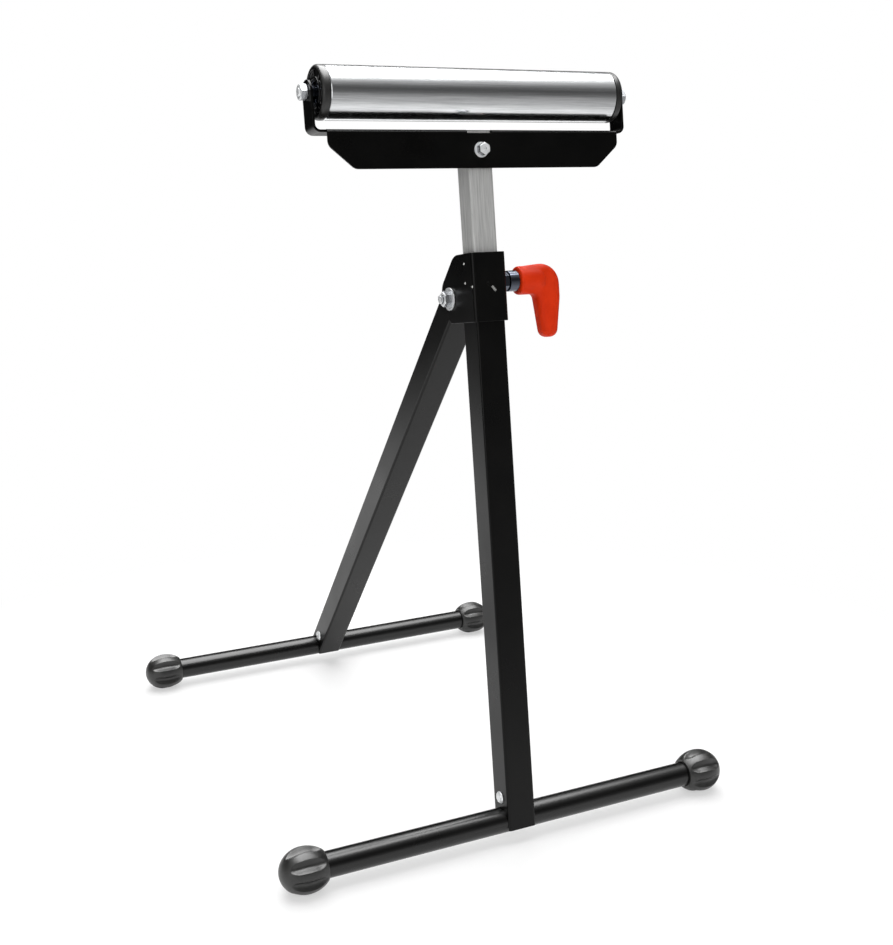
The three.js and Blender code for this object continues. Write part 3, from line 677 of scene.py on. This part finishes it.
def threadedEnd(diameter, start, end):  # a screw thread between two places along X, with a chamfered tip at the far one
    pitch = pitchOf[round(diameter / mm)]
    crest = diameter / 2
    root = crest - thread["depth"] * pitch
    turns = math.ceil(abs(end - start) / pitch)
    bm = bmesh.new()
    verts = [bm.verts.new((along * pitch, 0, radius)) for along, radius in
             ((0, root), (0.1, root), (0.45, crest), (0.55, crest), (0.9, root), (1, root))]
    for a, b in zip(verts, verts[1:]):
        bm.edges.new((a, b))
    steps = thread["steps"] * turns
    bmesh.ops.spin(bm, geom=bm.verts[:] + bm.edges[:], cent=(0, 0, 0), axis=acrossX, dvec=(pitch / thread["steps"], 0, 0),
                   angle=2 * math.pi * turns, steps=steps)
    bmesh.ops.remove_doubles(bm, verts=bm.verts, dist=1e-6)
    if end < start:
        flipped(bm)
    moved(bm, start)
    way = 1 if end > start else -1
    bmesh.ops.bisect_plane(bm, geom=bm.verts[:] + bm.edges[:] + bm.faces[:], plane_co=(end, 0, 0),
                           plane_no=acrossX * way, clear_outer=True)
    bmesh.ops.holes_fill(bm, edges=[edge for edge in bm.edges if edge.is_boundary])
    bmesh.ops.recalc_face_normals(bm, faces=bm.faces)
    tip = turned([(start, 0), (start, root), (end - way * 0.2 * mm, root, 0.4 * mm), (end - way * 0.2 * mm, 0)], 32)
    return joined(bm, tip)


def washer(start, end, inner, outer, steps=64):
    edge = (end - start) / 4
    return turned([(start, inner, edge), (start, outer, edge), (end, outer, edge), (end, inner, edge)],
                  steps, 4, closed=True)


def axisOf(node, place):
    low, high = localBox(node, place)
    return low, high, (low.y + high.y) / 2, (low.z + high.z) / 2


# The rear leg's pivot: bolt head on the right, nut on the left
pivot = {"thread": 8 * mm, "spanner": 13 * mm, "head": 5.3 * mm, "washerBore": 4.4 * mm, "washerShineAndShade": 0.12,
         "play": 0.08 * mm}


def addPivot():
    low, high, y, z = axisOf("pivot_bolt", postPlace)
    nutLow, nutHigh, _, _ = axisOf("pivot_nut", postPlace)
    radius = pivot["thread"] / 2
    head = hexPrism(pivot["spanner"], high.x - pivot["head"], high.x, chamferStart=False)
    shank = turned([(nutLow.x, 0), (nutLow.x, radius * thread["waist"]), (nutHigh.x, radius), (high.x - pivot["head"], radius),
                    (high.x - pivot["head"], 0)], 40)
    bolt = joined(head, shank, threadedEnd(pivot["thread"], nutLow.x, low.x))
    addPiece("pivotBolt", moved(shadedFlats(bolt), 0, y, z), postPlace, "pivot_bolt", smooth=30)
    nut = shadedFlats(hexPrism(pivot["spanner"], nutLow.x, nutHigh.x, radius + pivot["play"], chamferEnd=False))
    addPiece("pivotNut", moved(nut, 0, y, z), postPlace, "pivot_nut", smooth=30)
    for side in sides:
        node = "pivot_washer_" + side
        low, high, y, z = axisOf(node, postPlace)
        bm = washer(low.x, high.x, pivot["washerBore"], (high.z - low.z) / 2)
        # painted shade: the washers' flat faces are marked a little darker and glossier
        shinyAndShadedWhere(bm, pivot["washerShineAndShade"], lambda along: along > 0.9)
        addPiece("pivotWasher" + side.title(), moved(bm, 0, y, z), postPlace, node)


addPivot()


# Clamp: nut on the cheek, screw with a collar, red lever
clamp = {"thread": 10 * mm, "spanner": 17 * mm, "edge": 0.8 * mm, "stem": 20 * mm, "collar": 10 * mm}
lever = {"hub": 13.7 * mm, "hubLength": 31 * mm, "hubEdge": 2.6 * mm, "hubRound": 11 * mm, "root": 3 * mm,
         "rootDrop": 0.4 * mm, "inner": 18.5 * mm, "reach": 45 * mm, "top": 16.8 * mm, "tipWidth": 15.5 * mm,
         "thickness": 20 * mm, "round": 7.4 * mm, "elbow": 20 * mm, "crook": 5 * mm, "back": 24 * mm,
         "taper": 18 * mm, "tipRound": 7.7 * mm, "voxel": 0.55 * mm, "blend": 12, "smoothedAway": 1.3 * mm}


def addClamp():
    low, high, y, z = axisOf("clamp_nut", postPlace)
    # painted shade: the clamp nut is marked dark blue-grey and glossier all over
    nut = shinyAndShaded(hexPrism(clamp["spanner"], low.x, high.x, clamp["thread"] / 2))
    addPiece("clampNut", moved(nut, 0, y, z), postPlace, "clamp_nut", smooth=30)
    low, high, y, z = axisOf("clamp_screw", postPlace)
    collar = (high.z - low.z) / 2
    radius, edge = clamp["thread"] / 2 - 0.1 * mm, clamp["edge"]
    collarEnd = high.x - clamp["stem"] - leg["footGap"]
    collarStart = collarEnd - clamp["collar"]
    profile = [(low.x, 0), (low.x, radius - mm), (low.x + mm, radius), (collarStart, radius),
               (collarStart, collar, edge), (collarEnd, collar, edge), (collarEnd, radius), (high.x, radius), (high.x, 0)]
    # painted shade: the clamp screw and its collar are marked dark blue-grey and glossier all over
    addPiece("clampScrew", moved(shinyAndShaded(turned(profile, 56)), 0, y, z), postPlace, "clamp_screw", smooth=30)


def addLever():
    low, high = localBox("clamp_handle", postPlace)
    axis = postPlace.inverted() @ Vector(joints["clamp_turn"]["pos_m"])
    start, hub, edge = low.x, lever["hub"], lever["hubEdge"]
    barrel = turned([(0, 0), (0, hub, edge), (lever["hubLength"], hub, lever["hubRound"]), (lever["hubLength"], 0)],
                    72, 8)
    root, side = lever["root"], hub - lever["rootDrop"]
    middle = (lever["inner"] + lever["reach"]) / 2
    tip, drop = lever["tipWidth"] / 2, low.z - axis.z - lever["smoothedAway"]
    shape = [(root, -side), (lever["inner"], -side, lever["crook"]),
             (middle - tip, drop, lever["tipRound"]), (middle + tip, drop, lever["tipRound"]),
             (lever["reach"], -lever["taper"], lever["back"]), (lever["reach"], lever["top"], lever["elbow"]),
             (root, side)]
    arm = slab(shape, -lever["thickness"] / 2, lever["thickness"] / 2, "xz", 10)
    rims = [edge for edge in arm.edges if edge.calc_face_angle() > math.radians(80)]
    bmesh.ops.bevel(arm, geom=rims, offset=lever["round"], offset_type="OFFSET", affect="EDGES", segments=8,
                    profile=0.5, clamp_overlap=False, material=-1)
    made = asObject(joined(barrel, arm))
    step = made.modifiers.new("even", "REMESH")
    step.mode, step.voxel_size = "VOXEL", lever["voxel"]
    bm = settled(made)
    for _ in range(lever["blend"]):
        bmesh.ops.smooth_vert(bm, verts=bm.verts, factor=0.5, use_axis_x=True, use_axis_y=True, use_axis_z=True)
    addPiece("clampLever", moved(bm, start, axis.y, axis.z), postPlace, "clamp_handle", smooth=60)


addClamp()
addLever()
print("pivot and clamp made")


# Height post: galvanised tube, its front wall showing in the plate's slot
innerPost = {"corner": 2 * mm, "wall": 1.5 * mm, "edge": 0.3 * mm, "stripGap": 0.3 * mm}


def addInnerPost():
    low, high = localBox("inner_post", postPlace)
    half = (high.x - low.x) / 2
    middleY = (low.y + high.y) / 2
    tube = squareTube(half, innerPost["corner"], innerPost["wall"], low.z, high.z, middleY)
    stripLow, _ = localBox("roller_bracket", postPlace)
    wallTop = stripLow.z - innerPost["stripGap"]
    above = block((-2 * half, low.y + innerPost["wall"], wallTop), (2 * half, 2 * high.y, high.z + half))
    tube = combined(tube, "DIFFERENCE", above)
    addPiece("innerPost", softened(tube, innerPost["edge"]), postPlace, "inner_post")


addInnerPost()


# Head plate: its top bent back to the strip, its lower corners cut
plate = {"sheet": 1.8 * mm, "bend": 3.2 * mm, "cut": 24 * mm, "rise": 20.5 * mm, "round": 8 * mm,
         "slotGap": 0.3 * mm, "edge": 0.3 * mm}


def addHeadPlate():
    low, high = localBox("head_plate", postPlace)
    postLow, postHigh = localBox("inner_post", postPlace)
    half, sheet, bend = high.x, plate["sheet"], plate["bend"]
    section = [(low.y, low.z), (low.y + sheet, low.z), (low.y + sheet, high.z - sheet, bend - sheet),
               (high.y, high.z - sheet), (high.y, high.z), (low.y, high.z, bend)]
    cut, rise, over = plate["cut"], plate["rise"], 2 * mm
    front = [(cut - half, low.z, plate["round"]), (half - cut, low.z, plate["round"]),
             (half, low.z + rise, plate["round"]), (half, high.z + over), (-half, high.z + over),
             (-half, low.z + rise, plate["round"])]
    bm = slab(section, -half - over, half + over, "yz", 10)
    bm = combined(bm, "INTERSECT", slab(front, low.y - over, high.y + over, "xz", 10))
    gap = plate["slotGap"]
    slot = block((postLow.x - gap, 2 * low.y, high.z - bend),
                 (postHigh.x + gap, postLow.y + innerPost["wall"] + gap, high.z + over))
    bm = combined(bm, "DIFFERENCE", slot)
    addPiece("headPlate", softened(bm, plate["edge"], 3), postPlace, "head_plate")


addHeadPlate()


# Roller bracket: a strip bent to a U, its arms rounded over at the axle
strip = {"sheet": 2.4 * mm, "bend": 7 * mm, "armRound": 10.5 * mm, "edge": 0.4 * mm}


def addRollerBracket():
    low, high = localBox("roller_bracket", postPlace)
    half, sheet, bend, over = high.x, strip["sheet"], strip["bend"], 2 * mm
    bent = [(-half, low.z, bend), (half, low.z, bend), (half, high.z + over), (half - sheet, high.z + over),
            (half - sheet, low.z + sheet, bend - sheet), (sheet - half, low.z + sheet, bend - sheet),
            (sheet - half, high.z + over), (-half, high.z + over)]
    side = [(low.y, low.z - over), (high.y, low.z - over), (high.y, high.z, strip["armRound"]),
            (low.y, high.z, strip["armRound"])]
    bm = combined(slab(bent, low.y - over, high.y + over, "xz", 10), "INTERSECT", slab(side, -2 * half, 2 * half, "yz", 14))
    addPiece("rollerBracket", softened(bm, strip["edge"], 3), postPlace, "roller_bracket")


addRollerBracket()


# Head bolt through plate and post: head in front, nut behind
headBolt = {"thread": 6 * mm, "spanner": 10 * mm, "head": 4 * mm, "proud": 3 * mm, "dimple": 1.4 * mm,
            "washerBore": 3.4 * mm, "washer": 7 * mm}


def alongY(node):
    low, high = localBox(node, postPlace)
    return low, high, (low.x + high.x) / 2, (low.z + high.z) / 2


def addHeadBolt():
    low, high, x, z = alongY("head_bolt")
    nutLow, nutHigh, _, _ = alongY("head_nut")
    radius = headBolt["thread"] / 2
    seat = -low.y - headBolt["head"]  # along the bolt, towards the front
    front = headBolt["proud"] - low.y
    head = hexPrism(headBolt["spanner"], seat, front, dimple=headBolt["dimple"], chamferStart=False)
    shank = turned([(-nutHigh.y, 0), (-nutHigh.y, radius * thread["waist"]), (-nutLow.y, radius), (seat, radius), (seat, 0)], 32)
    bolt = joined(head, shank, threadedEnd(headBolt["thread"], -nutHigh.y, -high.y))
    addPiece("headBolt", moved(ontoY(shadedFlats(bolt)), x, 0, z), postPlace, "head_bolt", smooth=30)
    nut = shadedFlats(hexPrism(headBolt["spanner"], -nutHigh.y, -nutLow.y, radius))
    addPiece("headNut", moved(ontoY(nut), x, 0, z), postPlace, "head_nut", smooth=30)
    for end in ("front", "rear"):
        node = "head_washer_" + end
        low, high, x, z = alongY(node)
        bm = washer(-high.y, -low.y, headBolt["washerBore"], headBolt["washer"])
        addPiece("headWasher" + end.title(), moved(ontoY(bm), x, 0, z), postPlace, node)


addHeadBolt()
print("head made")


# Roller: steel tube, plastic ends, bearings, and the axle with its nuts
rollerTube = {"wall": 2 * mm, "edge": 1.2 * mm, "steps": 160}
endCap = {"gap": 0.3 * mm, "round": 3.6 * mm, "recess": 2 * mm, "land": 5 * mm,
          "hubWall": 2.5 * mm, "pocketGap": 0.3 * mm, "ledge": 1.4 * mm, "ribs": 8, "rib": 2.4 * mm,
          "ribRound": 0.9 * mm, "rimShineAndShade": 0.2}
bearing = {"ring": 1.4 * mm, "edge": 0.35 * mm, "balls": 7, "ball": 3.9 * mm, "cage": 1.8 * mm, "cageWall": 1.2 * mm}
axle = {"spacerBore": 4.3 * mm, "edge": 0.35 * mm, "chamfer": 0.8 * mm,
        "spanner": 13 * mm, "nutBore": 4.05 * mm, "standsOut": 1.3 * mm}


def addRoller():
    low, high, y, z = axisOf("roller_tube", postPlace)
    outer = (high.z - low.z) / 2
    inner, edge = outer - rollerTube["wall"], rollerTube["edge"]
    bm = turned([(low.x, inner, edge / 2), (low.x, outer, edge), (high.x, outer, edge), (high.x, inner, edge / 2)],
                rollerTube["steps"], 1, closed=True)
    addPiece("rollerTube", moved(bm, 0, y, z), postPlace, "roller_tube")
    return outer, high.x, y, z


def addEndCap(side, sign, outer, tubeEnd, y, z):
    bearingLow, bearingHigh = localBox("bearing_outer_" + side, postPlace)
    low, high = localBox("roller_end_cap_" + side, postPlace)
    pocket = (bearingHigh.z - bearingLow.z) / 2 + endCap["pocketGap"]
    pocketFloor = min(abs(bearingLow.x), abs(bearingHigh.x)) - endCap["pocketGap"]
    face, inner, rim = max(high.x, -low.x), min(abs(low.x), abs(high.x)), tubeEnd + endCap["gap"]
    plug = outer - rollerTube["wall"] - endCap["gap"]
    recess, land, hub = face - endCap["recess"], outer - endCap["land"], pocket + endCap["hubWall"]
    bore = pocket - endCap["pocketGap"] - endCap["ledge"]
    bm = turned([(inner, bore), (inner, plug, 1 * mm), (rim, plug), (rim, outer, 0.5 * mm), (face, outer, endCap["round"]),
                 (face, land, 0.5 * mm), (recess, land, 0.6 * mm), (recess, hub, 0.6 * mm), (face, hub, 0.5 * mm),
                 (face, pocket, 0.4 * mm), (pocketFloor, pocket), (pocketFloor, bore)], 112, 6, closed=True)
    for i in range(endCap["ribs"]):
        half = endCap["rib"] / 2
        rib = slab([(-half, hub - 0.3 * mm), (half, hub - 0.3 * mm), (half, land + 0.3 * mm), (-half, land + 0.3 * mm)],
                   recess - 0.3 * mm, face - 0.4 * mm, "yz")
        softened(rib, endCap["ribRound"], 3)
        bmesh.ops.rotate(rib, verts=rib.verts, cent=(0, 0, 0),
                         matrix=Matrix.Rotation(2 * math.pi * i / endCap["ribs"], 3, "X"))
        joined(bm, rib)
    if sign < 0:
        flipped(bm)
    # painted shade: inside the land the cap's face is marked near-black and glossier, the rim a fifth as much
    addPiece("rollerEnd" + side.title(), moved(shinyAndShaded(bm, outer - endCap["land"] / 2, endCap["rimShineAndShade"]), 0, y, z), postPlace,
             "roller_end_cap_" + side)


def addBearing(side, y, z):
    for kind in ("outer", "inner"):
        node = f"bearing_{kind}_{side}"
        low, high = localBox(node, postPlace)
        outer, edge = (high.z - low.z) / 2, bearing["edge"]
        inner = outer - bearing["ring"] + (0 if kind == "outer" else leg["footGap"])
        bm = turned([(low.x, inner, edge), (low.x, outer, edge), (high.x, outer, edge), (high.x, inner, edge)],
                    72, 3, closed=True)
        # painted shade: the bearing rings are marked dark and glossier
        addPiece(f"bearing{kind.title()}{side.title()}", moved(shinyAndShaded(bm), 0, y, z), postPlace, node)
    node = "bearing_balls_" + side
    low, high = localBox(node, postPlace)
    middle, pitch = (low.x + high.x) / 2, (high.z - z) - bearing["ball"] / 2
    half, wall = bearing["cage"] / 2, bearing["cageWall"] / 2
    bm = turned([(-half, pitch - wall, 0.2 * mm), (-half, pitch + wall, 0.2 * mm), (half, pitch + wall, 0.2 * mm),
                 (half, pitch - wall, 0.2 * mm)], 56, 2, closed=True)
    for i in range(bearing["balls"]):
        turn = Matrix.Rotation(2 * math.pi * i / bearing["balls"], 4, "X")
        bmesh.ops.create_icosphere(bm, subdivisions=3, radius=bearing["ball"] / 2,
                                   matrix=turn @ Matrix.Translation((0, 0, pitch)))
    # painted shade: the balls and cage are marked dark and glossier too
    addPiece("bearingBalls" + side.title(), moved(shinyAndShaded(bm), middle, y, z), postPlace, node)


def addAxle(y, z):
    low, high = localBox("roller_axle", postPlace)
    radius, chamfer = (high.z - low.z) / 2, axle["chamfer"]
    bm = turned([(low.x, 0), (low.x, radius - chamfer), (low.x + chamfer, radius), (high.x - chamfer, radius),
                 (high.x, radius - chamfer), (high.x, 0)], 40)
    addPiece("rollerAxle", moved(bm, 0, y, z), postPlace, "roller_axle", smooth=30)


def addAxleEnd(side, sign, y, z):
    node = "axle_spacer_" + side
    low, high = localBox(node, postPlace)
    outer, inner, edge = (high.z - low.z) / 2, axle["spacerBore"], axle["edge"]
    bm = turned([(low.x, inner, edge), (low.x, outer, edge), (high.x, outer, edge), (high.x, inner, edge)],
                56, 3, closed=True)
    # painted shade: the axle spacers are marked dark and glossier
    addPiece("axleSpacer" + side.title(), moved(shinyAndShaded(bm), 0, y, z), postPlace, node)
    node = "axle_nut_" + side
    low, high = localBox(node, postPlace)
    start, end = min(abs(low.x), abs(high.x)), max(abs(low.x), abs(high.x)) - axle["standsOut"]
    bm = hexPrism(axle["spanner"], start, end, axle["nutBore"])
    bmesh.ops.rotate(bm, verts=bm.verts, cent=(0, 0, 0), matrix=Matrix.Rotation(math.pi / 6, 3, "X"))  # a flat on top
    if sign < 0:
        flipped(bm)
    addPiece("axleNut" + side.title(), moved(shadedFlats(bm), 0, y, z), postPlace, node, smooth=30)


outer, tubeEnd, axisY, axisZ = addRoller()
addAxle(axisY, axisZ)
for side, sign in sides.items():
    addEndCap(side, sign, outer, tubeEnd, axisY, axisZ)
    addBearing(side, axisY, axisZ)
    addAxleEnd(side, sign, axisY, axisZ)
print("roller made")


# Studio: white floor and surroundings, large soft lamps, and a dim bowl that only reflections see
studio = {"floorSize": 40.0, "floorTone": 0.94, "whiteLeast": 0.5, "whiteFrom": 0.5, "whiteTo": 0.8,
          "ambient": 0.25}
bowl = {"inner": 0.8, "outer": 3.2, "lift": 0.004, "top": 4.4, "eye": (0, -0.15, 0.7), "turn": 0.3, "strength": 1.4,
        "front": ((-47, 0.64), (-34, 0.46), (-23, 0.38), (-8, 0.27), (-2, 0.165), (5, 0.1), (17, 0.06), (30, 0.12),
                  (47, 0.40), (60, 0.66)),
        "back": ((-39, 1), (-30, 1), (-24, 0.95), (-19, 0.42), (-14, 0.1), (-9, 0.02), (20, 0.01),
                 (40, 0.29), (60, 0.71))}
panel = {"place": (0.1, 0.4, 3.0), "radius": 1.7, "strength": 10.0}
lamps = {"top": {"place": (0.1, 0.3, 3.0), "aim": (0, 0, 0.2), "size": 3.4, "power": 95.0, "seen": False},
         "back": {"place": (0.9, 2.3, 1.6), "aim": (0, 0, 0.4), "size": 2.0, "power": 45.0, "seen": False},
         "front": {"place": (-0.9, -3.0, 2.2), "aim": (0, -0.1, 0.4), "size": 1.8, "power": 36.0, "seen": False},
         "left": {"place": (-2.5, -1.2, 0.9), "aim": (0, -0.1, 0.5), "size": 1.8, "power": 10.0, "seen": True}}


def seenDirectly(tree):  # 1 for the camera, and for what shines and what is seen through
    path = newNode(tree, "ShaderNodeLightPath")
    seen = path.outputs["Is Camera Ray"]
    for ray in ("Is Glossy Ray", "Is Transmission Ray"):
        either = newNode(tree, "ShaderNodeMath", operation="MAXIMUM")
        tree.links.new(seen, either.inputs[0])
        tree.links.new(path.outputs[ray], either.inputs[1])
        seen = either.outputs["Value"]
    return seen


def floorLook():
    material = bpy.data.materials.new("studioFloor")
    material.use_nodes = True
    tree = material.node_tree
    shader = tree.nodes["Principled BSDF"]
    shader.inputs["Base Color"].default_value = (studio["floorTone"],) * 3 + (1,)
    shader.inputs["Roughness"].default_value = 1.0
    shader.inputs["Specular IOR Level"].default_value = 0.0
    away = newNode(tree, "ShaderNodeVectorMath", operation="LENGTH")
    tree.links.new(newNode(tree, "ShaderNodeTexCoord").outputs["Object"], away.inputs[0])
    blend = newNode(tree, "ShaderNodeMapRange", {"From Min": studio["whiteFrom"], "From Max": studio["whiteTo"],
                                                 "To Min": studio["whiteLeast"]}, interpolation_type="SMOOTHSTEP")
    tree.links.new(away.outputs["Value"], blend.inputs["Value"])
    white = newNode(tree, "ShaderNodeEmission", {"Strength": 1.0})
    share = newNode(tree, "ShaderNodeMath", operation="MULTIPLY")
    tree.links.new(seenDirectly(tree), share.inputs[0])
    tree.links.new(blend.outputs["Result"], share.inputs[1])
    mix = newNode(tree, "ShaderNodeMixShader")
    tree.links.new(share.outputs["Value"], mix.inputs["Fac"])
    tree.links.new(shader.outputs["BSDF"], mix.inputs[1])
    tree.links.new(white.outputs["Emission"], mix.inputs[2])
    tree.links.new(mix.outputs["Shader"], tree.nodes["Material Output"].inputs["Surface"])
    return material


def addFloor():
    bm = bmesh.new()
    bmesh.ops.create_grid(bm, x_segments=8, y_segments=8, size=studio["floorSize"] / 2)
    floor = asObject(bm, "floor")
    floor.data.materials.append(floorLook())


def glowRamp(tree, height, stops):  # glow by the angle above the horizon
    ramp = newNode(tree, "ShaderNodeValToRGB")
    marks = ramp.color_ramp.elements
    while len(marks) < len(stops):
        marks.new(1.0)
    for mark, (angle, glow) in zip(marks, stops):
        mark.position = (math.sin(math.radians(angle)) + 1) / 2
        mark.color = (glow, glow, glow, 1)
    tree.links.new(height, ramp.inputs["Fac"])
    return ramp.outputs["Color"]


def bowlLook():
    material = bpy.data.materials.new("studioBowl")
    material.use_nodes = True
    tree = material.node_tree
    tree.nodes.remove(tree.nodes["Principled BSDF"])
    away = newNode(tree, "ShaderNodeVectorMath", {1: bowl["eye"]}, operation="SUBTRACT")
    tree.links.new(newNode(tree, "ShaderNodeTexCoord").outputs["Object"], away.inputs[0])
    aim = newNode(tree, "ShaderNodeVectorMath", operation="NORMALIZE")
    tree.links.new(away.outputs["Vector"], aim.inputs[0])
    axes = newNode(tree, "ShaderNodeSeparateXYZ")
    tree.links.new(aim.outputs["Vector"], axes.inputs["Vector"])
    height = newNode(tree, "ShaderNodeMapRange", {"From Min": -1.0})
    tree.links.new(axes.outputs["Z"], height.inputs["Value"])
    behind = newNode(tree, "ShaderNodeMapRange", {"From Min": -bowl["turn"], "From Max": bowl["turn"]})
    tree.links.new(axes.outputs["Y"], behind.inputs["Value"])
    mix = newNode(tree, "ShaderNodeMix", data_type="RGBA")
    tree.links.new(behind.outputs["Result"], mix.inputs["Factor"])
    tree.links.new(glowRamp(tree, height.outputs["Result"], bowl["front"]), mix.inputs[6])
    tree.links.new(glowRamp(tree, height.outputs["Result"], bowl["back"]), mix.inputs[7])
    glow = newNode(tree, "ShaderNodeEmission", {"Strength": bowl["strength"]})
    tree.links.new(mix.outputs[2], glow.inputs["Color"])
    tree.links.new(glow.outputs["Emission"], tree.nodes["Material Output"].inputs["Surface"])
    return material


def onlyMirrored(made, material):
    made.data.materials.append(material)
    made.visible_camera = made.visible_diffuse = made.visible_shadow = made.visible_transmission = False


def addBowl():
    bm = bmesh.new()
    spots = [(bowl["inner"], 0, bowl["lift"]), (bowl["outer"], 0, bowl["lift"]), (bowl["outer"], 0, bowl["top"])]
    verts = [bm.verts.new(spot) for spot in spots]
    for a, b in zip(verts, verts[1:]):
        bm.edges.new((a, b))
    bmesh.ops.spin(bm, geom=bm.verts[:] + bm.edges[:], cent=(0, 0, 0), axis=upZ, angle=2 * math.pi, steps=64,
                   use_merge=True)
    onlyMirrored(asObject(bm, "studioBowl"), bowlLook())


def addPanel():  # the bright ceiling light as the finishes mirror it
    material = bpy.data.materials.new("studioPanel")
    material.use_nodes = True
    tree = material.node_tree
    tree.nodes.remove(tree.nodes["Principled BSDF"])
    glow = newNode(tree, "ShaderNodeEmission", {"Strength": panel["strength"]})
    tree.links.new(glow.outputs["Emission"], tree.nodes["Material Output"].inputs["Surface"])
    bm = bmesh.new()
    bmesh.ops.create_circle(bm, cap_ends=True, segments=64, radius=panel["radius"])
    onlyMirrored(asObject(moved(bm, *panel["place"]), "studioPanel"), material)


def addWorld():
    world = bpy.data.worlds.new("studio")
    world.use_nodes = True
    bpy.context.scene.world = world
    tree = world.node_tree
    background = tree.nodes["Background"]
    background.inputs["Color"].default_value = (1, 1, 1, 1)
    level = newNode(tree, "ShaderNodeMapRange", {"To Min": studio["ambient"], "To Max": 1.0})
    tree.links.new(seenDirectly(tree), level.inputs["Value"])
    tree.links.new(level.outputs["Result"], background.inputs["Strength"])


def addLamp(name, values):
    lamp = bpy.data.lights.new(name, "AREA")
    lamp.shape, lamp.size, lamp.energy = "DISK", values["size"], values["power"]
    made = bpy.data.objects.new(name, lamp)
    made.location = values["place"]
    aim = Vector(values["aim"]) - Vector(values["place"])
    made.rotation_euler = aim.to_track_quat("-Z", "Y").to_euler()
    made.visible_glossy = values["seen"]
    bpy.context.scene.collection.objects.link(made)


addFloor()
addBowl()
addPanel()
addWorld()
for name, values in lamps.items():
    addLamp(name + "Lamp", values)
bpy.context.scene.view_settings.view_transform = "Standard"


# Camera, at the photograph's place
viewpoint = {"imageHeight": 945, "focalPixels": 1264.43, "heading": 25.68, "down": 13.44, "roll": -0.56,
             "place": (-0.55479, -1.27047, 0.64726)}


def addCamera():
    camera = bpy.data.cameras.new("camera")
    camera.sensor_width = 36
    camera.lens = viewpoint["focalPixels"] * camera.sensor_width / viewpoint["imageHeight"]
    camera.clip_end = 100
    heading, down, roll = (math.radians(viewpoint[key]) for key in ("heading", "down", "roll"))
    ahead = Vector((math.sin(heading) * math.cos(down), math.cos(heading) * math.cos(down), -math.sin(down)))
    right = Vector((math.cos(heading), -math.sin(heading), 0))
    up = right.cross(ahead)
    turn = Matrix((right * math.cos(roll) + up * math.sin(roll), up * math.cos(roll) - right * math.sin(roll), -ahead))
    made = bpy.data.objects.new("camera", camera)
    made.matrix_world = Matrix.Translation(viewpoint["place"]) @ turn.transposed().to_4x4()
    bpy.context.scene.collection.objects.link(made)
    bpy.context.scene.camera = made


addCamera()
print("studio and camera set")
